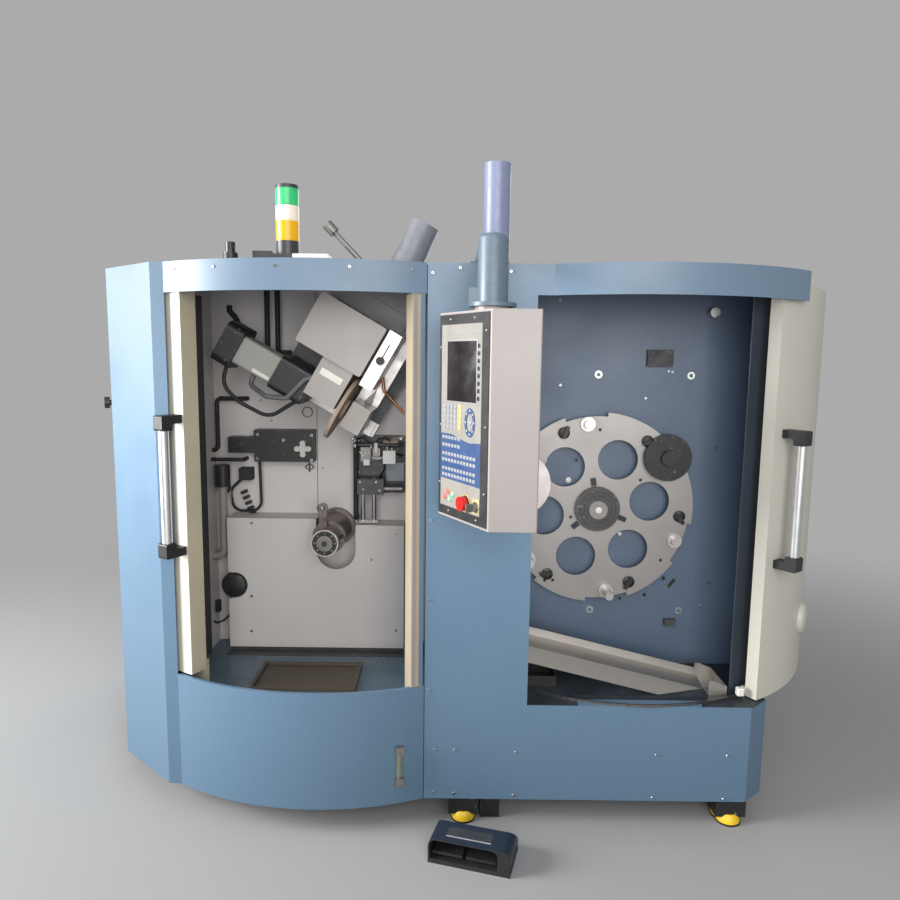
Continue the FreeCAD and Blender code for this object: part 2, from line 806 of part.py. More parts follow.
def left_front_y(x):
    """Y of the curved left front at a given X."""
    return LEFT_AXIS_Y - math.sqrt(LEFT_SKIN_RADIUS ** 2 - (x - LEFT_AXIS_X) ** 2)


def left_side_line():
    return [
        (STRIP_INNER_X, left_front_y(STRIP_INNER_X)),
        (STRIP_OUTER_X, STRIP_OUTER_Y),
        (CHAMFER_X, CHAMFER_Y),
        (LEFT_SIDE_X, LEFT_SIDE_Y),
        (LEFT_SIDE_X, LEFT_REAR_CORNER_Y),
        (LEFT_REAR_CORNER_X, REAR_Y),
    ]


def left_plan(inset):
    """Plan wire of the left bay, drawn in from its outer faces."""
    radius = LEFT_SKIN_RADIUS - inset
    right_x = SEAM_X - SEAM_GAP / 2
    start = around(LEFT_AXIS, radius, turn_at(LEFT_AXIS, radius, right_x))
    middle = around(LEFT_AXIS, radius, 0)
    side = inset_line(left_side_line()[::-1], inset)[::-1]
    arc_end = around(LEFT_AXIS, radius, turn_at(LEFT_AXIS, radius, STRIP_INNER_X))
    corners = [(middle, arc_end)]
    corners += [(x, y) for x, y in side[1:-1]]
    corners += [(side[-1][0], REAR_Y - inset), (right_x, REAR_Y - inset)]
    return outline(start, corners)


def right_plan(inset):
    """Plan wire of the roof over the right bay."""
    radius = RIGHT_FASCIA_RADIUS - inset
    left_x = SEAM_X + SEAM_GAP / 2
    arc_start = right_fascia_start(radius, inset)
    arc_end_turn = turn_at(RIGHT_AXIS, radius, RIGHT_FASCIA_END_X)
    start_turn = turn_at(RIGHT_AXIS, radius, arc_start)
    return outline((left_x, inset), [
        (arc_start, inset),
        (around(RIGHT_AXIS, radius, (start_turn + arc_end_turn) / 2),
         around(RIGHT_AXIS, radius, arc_end_turn)),
        (RIGHT_FASCIA_END_X, RIGHT_ROOF_STEP_Y),
        (RIGHT_SIDE_X, RIGHT_ROOF_STEP_Y + RIGHT_FASCIA_END_X - RIGHT_SIDE_X),
        (RIGHT_SIDE_X, REAR_Y - inset),
        (left_x, REAR_Y - inset),
    ])


def right_fascia_start(radius, inset):
    """X at which the right fascia's arc leaves the flat front."""
    return RIGHT_AXIS_X - math.sqrt(radius ** 2 - (RIGHT_AXIS_Y - inset) ** 2)


def make_left_cabinet():
    start = turn_at(LEFT_AXIS, LEFT_SKIN_RADIUS, STRIP_INNER_X)
    end = turn_at(LEFT_AXIS, LEFT_SKIN_RADIUS, SEAM_X - SEAM_GAP / 2)
    inside = LEFT_SKIN_RADIUS - SHEET

    def front_band(low, high, flange_low, flange_high):
        skin = sector(LEFT_AXIS, inside, LEFT_SKIN_RADIUS, start, end, low, high)
        flange = sector(LEFT_AXIS, inside - LEFT_LIP_DEPTH, inside, start, end, flange_low, flange_high)
        return fused(skin, flange)

    lip = LEFT_LIP_TOP - SHEET
    save("left_lower_panel", front_band(PANEL_BOTTOM, LEFT_LIP_TOP, lip, LEFT_LIP_TOP))
    save("left_fascia", front_band(FASCIA_BOTTOM, CEILING, FASCIA_BOTTOM, FASCIA_BOTTOM + SHEET))
    side = folded_sheet(left_side_line()[::-1], SHEET, PANEL_BOTTOM, CEILING)
    save("left_side_panel", side)


def make_right_cabinet():
    left_x = SEAM_X + SEAM_GAP / 2
    line = [(left_x, 0), (RIGHT_CHAMFER_X, 0), (RIGHT_SIDE_X, RIGHT_CHAMFER_Y)]
    lower = folded_sheet(line, SHEET, PANEL_BOTTOM, FLOOR_TOP - SHEET)
    lip = box((POST_RIGHT_X, RIGHT_CHAMFER_X), (0, SHEET), (FLOOR_TOP - SHEET, FLOOR_TOP))
    post = box((left_x, POST_RIGHT_X), (0, SHEET), (FLOOR_TOP - SHEET, CEILING))
    post_return = box((POST_RIGHT_X - SHEET, POST_RIGHT_X), (SHEET, POST_RETURN), (FLOOR_TOP, FASCIA_BOTTOM))
    arc_x = right_fascia_start(RIGHT_FASCIA_RADIUS, 0)
    head = box((POST_RIGHT_X, arc_x), (0, SHEET), (FASCIA_BOTTOM, CEILING))
    save("right_front_panel", fused(lower, lip, post, post_return, head))

    start = turn_at(RIGHT_AXIS, RIGHT_FASCIA_RADIUS, arc_x)
    end = turn_at(RIGHT_AXIS, RIGHT_FASCIA_RADIUS, RIGHT_FASCIA_END_X)
    fascia = sector(RIGHT_AXIS, RIGHT_FASCIA_RADIUS - SHEET, RIGHT_FASCIA_RADIUS, start, end, FASCIA_BOTTOM,
                    CEILING)
    fascia = fascia.cut(box((POST_RIGHT_X, arc_x), (0, POST_RETURN), (FASCIA_BOTTOM, CEILING)))
    save("right_fascia", fascia)

    lower_side = box((RIGHT_SIDE_X - SHEET, RIGHT_SIDE_X), (RIGHT_CHAMFER_Y + SHEET, REAR_Y - SHEET),
                     (PANEL_BOTTOM, FLOOR_TOP - SHEET))
    upper_side = box((RIGHT_SIDE_X - SHEET, RIGHT_SIDE_X), (RIGHT_WALL_Y + SHEET, REAR_Y - SHEET),
                     (FLOOR_TOP - SHEET, CEILING))
    save("right_side_panel", fused(lower_side, upper_side))


def make_rear_panels():
    slots = []
    panels = []
    spans = ((LEFT_REAR_CORNER_X + 2 * SHEET, BAY_JOINT_X), (BAY_JOINT_X, SEAM_X), (SEAM_X, RIGHT_SIDE_X))
    for low_x, high_x in spans:
        middle = (low_x + high_x) / 2
        for index in range(VENT_SLOT_COUNT):
            z = VENT_SLOT_BOTTOM + index * VENT_SLOT_STEP
            slots.append(box((middle - VENT_SLOT_LENGTH / 2, middle + VENT_SLOT_LENGTH / 2),
                             (REAR_Y - SHEET - OVERRUN, REAR_Y + OVERRUN), (z, z + VENT_SLOT_HEIGHT)))
        half_gap = REAR_PANEL_GAP / 2
        panels.append(box((low_x + half_gap, high_x - half_gap), (REAR_Y - SHEET, REAR_Y),
                          (PANEL_BOTTOM, CEILING)))
    save("rear_panels", *[panel.cut(slots) for panel in panels])


def make_roof():
    under = CEILING - OVERRUN
    reach = SHEET + 2 * OVERRUN
    stub_hole = rod(STUB_RADIUS, vec(STUB_X, STUB_Y, under), UP, reach)
    duct_hole = rod(DUCT_RADIUS - STUB_WALL, vec(DUCT_X, DUCT_Y, under), UP, reach)
    left = standing(left_plan(0), CEILING, ROOF_TOP).cut(stub_hole)
    right = standing(right_plan(0), CEILING, ROOF_TOP).cut(duct_hole)
    save("roof_panels", left, right)


def make_frame():
    """Base of square tubes butted together, and the uprights that stand on it."""
    top = PANEL_BOTTOM + FRAME_TUBE
    height = (PANEL_BOTTOM, top)
    left_x = CHAMFER_X + FRAME_INSET
    back = REAR_Y - SHEET
    inside_back = back - FRAME_TUBE
    cross_y = LEFT_FOOT_FRONT_Y - FRAME_TUBE / 2
    seam_left = SEAM_X - FRAME_TUBE
    side_x = RIGHT_SIDE_X - SHEET
    side_y = RIGHT_CHAMFER_Y + SHEET
    save(
        "base_frame",
        box((left_x, side_x), (inside_back, back), height),
        box((seam_left, SEAM_X), (FRAME_INSET, inside_back), height),
        box((side_x - FRAME_TUBE, side_x), (side_y, inside_back), height),
        box((SEAM_X, side_x - FRAME_TUBE), (side_y, side_y + FRAME_TUBE), height),
        box((left_x, left_x + FRAME_TUBE), (cross_y, inside_back), height),
        box((left_x + FRAME_TUBE, seam_left), (cross_y, cross_y + FRAME_TUBE), height),
    )
    uprights = []
    for x in (left_x, SEAM_X - SHEET - UPRIGHT, side_x - UPRIGHT):
        uprights.append(box((x, x + UPRIGHT), (back - UPRIGHT, back), (top, CEILING)))
    for x in (left_x, SEAM_X - SHEET - UPRIGHT):
        uprights.append(box((x, x + UPRIGHT), (BAY_BACK_Y + SHEET, BAY_BACK_Y + SHEET + UPRIGHT),
                            (top, CEILING)))
    save("frame_uprights", *uprights)

    feet = []
    places = [(x, y) for x in FOOT_COLUMN_X for y in (FOOT_FRONT_Y, FOOT_REAR_Y)]
    places += [(x, y) for x in LEFT_FOOT_COLUMN_X for y in (LEFT_FOOT_FRONT_Y, FOOT_REAR_Y)]
    half = FOOT_BLOCK / 2
    for x, y in places:
        block = box((x - half, x + half), (y - half, y + half), (FOOT_BLOCK_BOTTOM, PANEL_BOTTOM))
        rim = rod(FOOT_PAD_RADIUS, vec(x, y, 0), UP, FOOT_PAD_RIM)
        cone = Part.makeCone(FOOT_PAD_RADIUS, FOOT_PAD_WAIST_RADIUS, FOOT_BLOCK_BOTTOM - FOOT_PAD_RIM,
                             vec(x, y, FOOT_PAD_RIM), UP)
        feet += [block, fused(rim, cone)]
    half = JACK_WIDTH / 2
    feet.append(box((JACK_X - half, JACK_X + half), (FOOT_FRONT_Y - half, FOOT_FRONT_Y - half + JACK_DEPTH),
                    (JACK_BOTTOM, PANEL_BOTTOM)))
    save("leveling_feet", *feet)


def make_bay_walls():
    back = BAY_BACK_Y + SHEET
    right_x = SEAM_X - SHEET
    half = BAY_JOINT_GAP / 2
    left_back = box((BAY_WALL_X, BAY_JOINT_X - half), (BAY_BACK_Y, back), (FLOOR_TOP, CEILING))
    right_back = box((BAY_JOINT_X + half, right_x), (BAY_BACK_Y, back), (FLOOR_TOP, CEILING))
    side = box((BAY_WALL_X - SHEET, BAY_WALL_X), (BAY_WALL_START_Y, back), (FLOOR_TOP, CEILING))
    save("grinding_bay_walls", left_back, right_back, side)

    divider = box((SEAM_X - SHEET, SEAM_X), (UPRIGHT, REAR_Y - SHEET - UPRIGHT), (FLOOR_TOP, CEILING))
    transfer = box((SEAM_X - SHEET - OVERRUN, SEAM_X + OVERRUN), (TRANSFER_FRONT_Y, TRANSFER_BACK_Y),
                   (TRANSFER_LOW, TRANSFER_HIGH))
    save("divider_wall", divider.cut(transfer))

    wall = box((SEAM_X, RIGHT_SIDE_X - SHEET), (MAGAZINE_WALL_Y, MAGAZINE_WALL_Y + SHEET),
               (FLOOR_TOP, CEILING))
    notch = rod(DUCT_RADIUS, vec(DUCT_X, DUCT_Y, CEILING - WALL_NOTCH), UP, WALL_NOTCH + OVERRUN)
    save("magazine_back_wall", wall.cut(notch))


def make_floors():
    left = standing(left_plan(SHEET), FLOOR_TOP - SHEET, FLOOR_TOP)
    left = left.cut(PIECES["frame_uprights"])
    line = [(SEAM_X + SEAM_GAP / 2, SHEET), (RIGHT_CHAMFER_X, SHEET),
            (RIGHT_SIDE_X - SHEET, RIGHT_CHAMFER_Y),
            (RIGHT_SIDE_X - SHEET, REAR_Y - SHEET - UPRIGHT), (SEAM_X + SEAM_GAP / 2,
                                                               REAR_Y - SHEET - UPRIGHT)]
    right = plan_prism(line, FLOOR_TOP - SHEET, FLOOR_TOP)
    tab = box((TAB_LEFT_X, TAB_RIGHT_X), (TAB_Y, TAB_Y + SHEET), (FLOOR_TOP, FLOOR_TOP + TAB_HEIGHT))
    save("bay_floors", left, fused(right, tab))


def make_arbor_cover():
    front = front_prism([
        (COVER_LEFT_X, FLOOR_TOP), (COVER_RIGHT_X, FLOOR_TOP), (COVER_RIGHT_X, COVER_RIGHT_TOP),
        (U_LEFT_X + U_RADIUS, COVER_RIGHT_TOP), (U_LEFT_X + U_RADIUS, COVER_TOP), (COVER_LEFT_X, COVER_TOP),
    ], COVER_FRONT_Y, COVER_FRONT_Y + SHEET)
    depth = (COVER_FRONT_Y, BAY_BACK_Y)
    u_right = U_LEFT_X + 2 * U_RADIUS
    returns = [
        box((COVER_LEFT_X, COVER_LEFT_X + SHEET), depth, (FLOOR_TOP, COVER_TOP)),
        box((COVER_RIGHT_X - SHEET, COVER_RIGHT_X), depth, (FLOOR_TOP, COVER_RIGHT_TOP)),
        box((COVER_LEFT_X, U_LEFT_X), depth, (COVER_TOP - SHEET, COVER_TOP)),
        box((u_right, COVER_RIGHT_X), depth, (COVER_RIGHT_TOP - SHEET, COVER_RIGHT_TOP)),
    ]
    shell = fused(front, *returns)
    cut_y = COVER_FRONT_Y - OVERRUN
    cut_depth = SHEET + 2 * OVERRUN
    u_axis_x = U_LEFT_X + U_RADIUS
    u_slot = box((U_LEFT_X, u_right), (cut_y, cut_y + cut_depth), (U_CENTRE_Z, COVER_TOP + OVERRUN))
    u_round = rod(U_RADIUS, vec(u_axis_x, cut_y, U_CENTRE_Z), BACK, cut_depth)
    notch_y = cut_y + cut_depth + NOTCH_RADIUS
    notch = rod(NOTCH_RADIUS, vec(COVER_LEFT_X, cut_y, NOTCH_Z), BACK, notch_y - cut_y)
    save("arbor_cover", shell.cut([u_slot, u_round, notch]))


def make_tray():
    low, high = FLOOR_TOP, FLOOR_TOP + TRAY_HEIGHT
    tray = box((TRAY_LEFT_X, TRAY_RIGHT_X), (TRAY_FRONT_Y, TRAY_BACK_Y), (low, high))
    inside = box((TRAY_LEFT_X + TRAY_RIM, TRAY_RIGHT_X - TRAY_RIM),
                 (TRAY_FRONT_Y + TRAY_RIM, TRAY_BACK_Y - TRAY_RIM),
                 (low + SHEET, high + OVERRUN))
    save("mesh_tray", tray.cut(inside))


def rail_radii(door_radius, door_depth):
    """Inner and outer radius of the rail that a door's shoes run on."""
    outer = door_radius - door_depth - RAIL_OFFSET
    return outer - RAIL_WIDTH, outer


def door_rail(axis, radii, start, end, door_high):
    """Upper rail hung from the roof, and lower rail that stands on the floor."""
    upper = sector(axis, *radii, start, end, door_high - SHOE_WALL, CEILING)
    lower = sector(axis, *radii, start, end, FLOOR_TOP, FLOOR_TOP + LOWER_RAIL_HEIGHT)
    return upper, lower


def make_door_rails():
    left_radii = rail_radii(LEFT_DOOR_RADIUS, LEFT_DOOR_DEPTH)
    left_travel = SEAL_POST_START_ANGLE - LEFT_DOOR_LEAD_ANGLE
    upper, lower = door_rail(LEFT_AXIS, left_radii,
                             LEFT_DOOR_LEAD_ANGLE - LEFT_DOOR_SPAN_ANGLE - RAIL_RUNOUT_ANGLE,
                             LEFT_DOOR_LEAD_ANGLE + left_travel - RAIL_RUNOUT_ANGLE, LEFT_DOOR_TOP)
    right_radii = rail_radii(RIGHT_DOOR_RADIUS, RIGHT_DOOR_DEPTH)
    right_closed = turn_at(RIGHT_AXIS, RIGHT_DOOR_RADIUS, POST_RIGHT_X)
    right_end = RIGHT_DOOR_LEAD_ANGLE + RIGHT_DOOR_SPAN_ANGLE + RAIL_RUNOUT_ANGLE
    right_upper, right_lower = door_rail(RIGHT_AXIS, right_radii, right_closed + RAIL_RUNOUT_ANGLE,
                                         right_end,
                                         DOOR_TOP)
    arm_y = (RIGHT_AXIS_Y - UPRIGHT, RIGHT_AXIS_Y)
    low_arm = box((RIGHT_SIDE_X, RIGHT_AXIS_X + right_radii[1]), arm_y, (FLOOR_TOP - RAIL_ARM, FLOOR_TOP))
    high_arm = box((RIGHT_SIDE_X, RIGHT_AXIS_X + right_radii[0]), arm_y, (DOOR_TOP + SHEET, CEILING))
    save("door_rails", upper, lower, fused(right_upper, high_arm), fused(right_lower, low_arm))


def make_seal_posts():
    outer = LEFT_SKIN_RADIUS - SHEET
    left = sector(LEFT_AXIS, outer - SEAL_POST_DEPTH, outer, SEAL_POST_START_ANGLE, SEAL_POST_END_ANGLE,
                  FLOOR_TOP, FASCIA_BOTTOM)
    lip = sector(LEFT_AXIS, outer - LEFT_LIP_DEPTH - OVERRUN, outer + OVERRUN,
                 SEAL_POST_START_ANGLE - OVERRUN,
                 SEAL_POST_END_ANGLE + OVERRUN, LEFT_LIP_TOP - SHEET, LEFT_LIP_TOP)
    line = [(RIGHT_WALL_START_X, RIGHT_WALL_START_Y), (RIGHT_SIDE_X, RIGHT_WALL_Y)]
    right = folded_sheet(line, SHEET, FLOOR_TOP, CEILING)
    save("seal_posts", left.cut(lip), right)


def door_shell(axis, radius, depth, lead, span, side, low, high):
    """Curved door: skin, deep stiles and rims, and the shoes that hold it on its rails."""
    trail = lead + side * span
    start, end = min(lead, trail), max(lead, trail)
    inner = radius - depth
    parts = [
        sector(axis, radius - DOOR_SKIN, radius, start, end, low, high),
        sector(axis, inner, radius, start, start + DOOR_STILE_ANGLE, low, high),
        sector(axis, inner, radius, end - DOOR_STILE_ANGLE, end, low, high),
        sector(axis, inner, radius, start, end, low, low + DOOR_RIM),
        sector(axis, inner, radius, start, end, high - DOOR_RIM, high),
    ]
    rail_inner, rail_outer = rail_radii(radius, depth)
    shoe_inner = rail_inner - SHOE_WALL
    rail_top = FLOOR_TOP + LOWER_RAIL_HEIGHT
    for turn in (start + SHOE_END_ANGLE, end - SHOE_END_ANGLE - SHOE_ANGLE):
        upper = sector(axis, shoe_inner, inner, turn, turn + SHOE_ANGLE, high - SHOE_HEIGHT, high)
        slot = sector(axis, rail_inner - CONTACT_GAP, rail_outer + CONTACT_GAP, start - SHOE_ANGLE,
                      end + SHOE_ANGLE,
                      high - SHOE_WALL - CONTACT_GAP, high + OVERRUN)
        parts.append(upper.cut(slot))
        lower = sector(axis, shoe_inner, inner, turn, turn + SHOE_ANGLE, FLOOR_TOP + SHOE_CLEARANCE,
                       low + SHOE_HEIGHT)
        slot = sector(axis, rail_inner - CONTACT_GAP, rail_outer + CONTACT_GAP, start - SHOE_ANGLE,
                      end + SHOE_ANGLE, FLOOR_TOP - OVERRUN, rail_top + CONTACT_GAP)
        parts.append(lower.cut(slot))
    return fused(*parts)


def door_handle(axis, radius, turn, low, high):
    """Vertical tube whose ends stand in the sockets of two brackets on a curved door."""
    x, y = around(axis, radius + HANDLE_STANDOFF, turn)
    overhang = BRACKET_HEIGHT / 2 - BRACKET_WALL
    tube = rod(HANDLE_RADIUS, vec(x, y, low - overhang), UP, high - low + 2 * overhang)
    door = rod(radius, vec(axis[0], axis[1], low - BRACKET_SOCKET), UP, high - low + 2 * BRACKET_SOCKET)
    half = HANDLE_RADIUS + BRACKET_WALL
    solids = [tube]
    for z, away in ((low, 1), (high, -1)):
        outer = z - away * BRACKET_HEIGHT / 2
        arm = box((-half, half), (-HANDLE_STANDOFF - half, OVERRUN),
                  sorted((outer, outer + away * BRACKET_HEIGHT)))
        socket = box((-half, half), (-HANDLE_STANDOFF - half, half - HANDLE_STANDOFF),
                     sorted((outer, outer + away * BRACKET_SOCKET)))
        bracket = rounded(fused(arm, socket), RIGHT, BRACKET_EDGE_RADIUS)
        bracket.translate(vec(0, -radius, 0))
        bracket.rotate(vec(0, 0, 0), UP, turn)
        bracket.translate(vec(axis[0], axis[1], 0))
        solids.append(bracket.cut([tube, door]))
    return solids


def make_left_door():
    shell = door_shell(LEFT_AXIS, LEFT_DOOR_RADIUS, LEFT_DOOR_DEPTH, LEFT_DOOR_LEAD_ANGLE,
                       LEFT_DOOR_SPAN_ANGLE, -1,
                       LEFT_DOOR_BOTTOM, LEFT_DOOR_TOP)
    start = LEFT_DOOR_LEAD_ANGLE - WINDOW_END_ANGLE
    end = LEFT_DOOR_LEAD_ANGLE - WINDOW_START_ANGLE
    inside = LEFT_DOOR_RADIUS - DOOR_SKIN
    opening = sector(LEFT_AXIS, inside - OVERRUN, LEFT_DOOR_RADIUS + OVERRUN, start, end, WINDOW_BOTTOM,
                     WINDOW_TOP)
    save("left_door_panel", shell.cut(opening))
    lap = math.degrees(WINDOW_LAP / LEFT_DOOR_RADIUS)
    save("left_door_window", sector(LEFT_AXIS, inside - WINDOW_THICKNESS, inside, start - lap, end + lap,
                                    WINDOW_BOTTOM - WINDOW_LAP, WINDOW_TOP + WINDOW_LAP))
    inner = LEFT_DOOR_RADIUS - LEFT_DOOR_DEPTH
    save("left_door_seal", sector(LEFT_AXIS, inner - EDGE_SEAL_DEPTH, inner,
                                  LEFT_DOOR_LEAD_ANGLE - EDGE_SEAL_ANGLE, LEFT_DOOR_LEAD_ANGLE,
                                  LEFT_DOOR_BOTTOM + EDGE_SEAL_END, LEFT_DOOR_TOP - EDGE_SEAL_END))
    save("left_door_handle",
         *door_handle(LEFT_AXIS, LEFT_DOOR_RADIUS, LEFT_DOOR_LEAD_ANGLE - LEFT_HANDLE_ANGLE,
                                          LEFT_HANDLE_LOW, LEFT_HANDLE_HIGH))


def make_right_door():
    shell = door_shell(RIGHT_AXIS, RIGHT_DOOR_RADIUS, RIGHT_DOOR_DEPTH, RIGHT_DOOR_LEAD_ANGLE,
                       RIGHT_DOOR_SPAN_ANGLE, 1,
                       RIGHT_DOOR_BOTTOM, DOOR_TOP)
    save("right_door_panel", shell)
    save("right_door_handle",
         *door_handle(RIGHT_AXIS, RIGHT_DOOR_RADIUS, RIGHT_DOOR_LEAD_ANGLE + RIGHT_HANDLE_ANGLE,
                                           RIGHT_HANDLE_LOW, RIGHT_HANDLE_HIGH))


def make_arbor():
    def disc(radius, front, depth):
        return rod(radius, vec(ARBOR_X, front, ARBOR_Z), BACK, depth)

    face = ARBOR_FRONT_Y + ARBOR_RIM
    flange = disc(ARBOR_DISC_RADIUS, ARBOR_FRONT_Y, ARBOR_DISC).cut(
        disc(ARBOR_DISC_RADIUS - ARBOR_RIM, ARBOR_FRONT_Y - OVERRUN, ARBOR_RIM + OVERRUN))
    dial = disc(ARBOR_DIAL_RADIUS, face - ARBOR_DIAL, ARBOR_DIAL + ARBOR_RIM)
    nose = disc(ARBOR_NOSE_RADIUS, face - ARBOR_NOSE, ARBOR_NOSE + ARBOR_RIM)
    collar_y = ARBOR_FRONT_Y + ARBOR_DISC
    collar = disc(ARBOR_COLLAR_RADIUS, collar_y, ARBOR_COLLAR)
    shaft_y = collar_y + ARBOR_COLLAR
    shaft = disc(ARBOR_SHAFT_RADIUS, shaft_y, ARBOR_SHAFT)
    save("arbor_flange", fused(flange, dial, nose, collar, shaft))

    nose_y = shaft_y + CONTACT_GAP
    body = [
        disc(HOUSING_NOSE_RADIUS, nose_y, HOUSING_NOSE),
        disc(HOUSING_RADIUS, nose_y + HOUSING_NOSE, BAY_BACK_Y - nose_y - HOUSING_NOSE),
        disc(HOUSING_FOOT_RADIUS, BAY_BACK_Y - HOUSING_FOOT, HOUSING_FOOT),
    ]
    lug_y = nose_y
    lug = box((ARBOR_X - LUG_WIDTH, ARBOR_X), (lug_y, lug_y + LUG_THICKNESS), (ARBOR_Z, ARBOR_Z + LUG_REACH))
    ring_x = ARBOR_X - LUG_WIDTH / 2
    ring = rod(LUG_RING_RADIUS, vec(ring_x, lug_y, ARBOR_Z + LUG_REACH), BACK, LUG_THICKNESS)
    hole = rod(LUG_RING_HOLE, vec(ring_x, lug_y - OVERRUN, ARBOR_Z + LUG_REACH), BACK,
               LUG_THICKNESS + 2 * OVERRUN)
    nozzle = rod(NOZZLE_RADIUS, vec(ARBOR_X + NOZZLE_OFFSET, nose_y + HOUSING_NOSE - NOZZLE_LENGTH, ARBOR_Z),
                 BACK, NOZZLE_LENGTH + OVERRUN)
    bore = disc(ARBOR_SHAFT_RADIUS + BORE_GAP, nose_y - OVERRUN, ARBOR_SHAFT + 2 * OVERRUN)
    save("arbor_housing", fused(*body, lug, ring, nozzle).cut([bore, hole]))


def tilted(shape):
    """Place a piece of the grinding head, drawn square about the wheel's centre."""
    shape = shape.copy()
    shape.rotate(vec(0, 0, 0), BACK, HEAD_TILT)
    shape.translate(vec(WHEEL_X, 0, WHEEL_Z))
    return shape


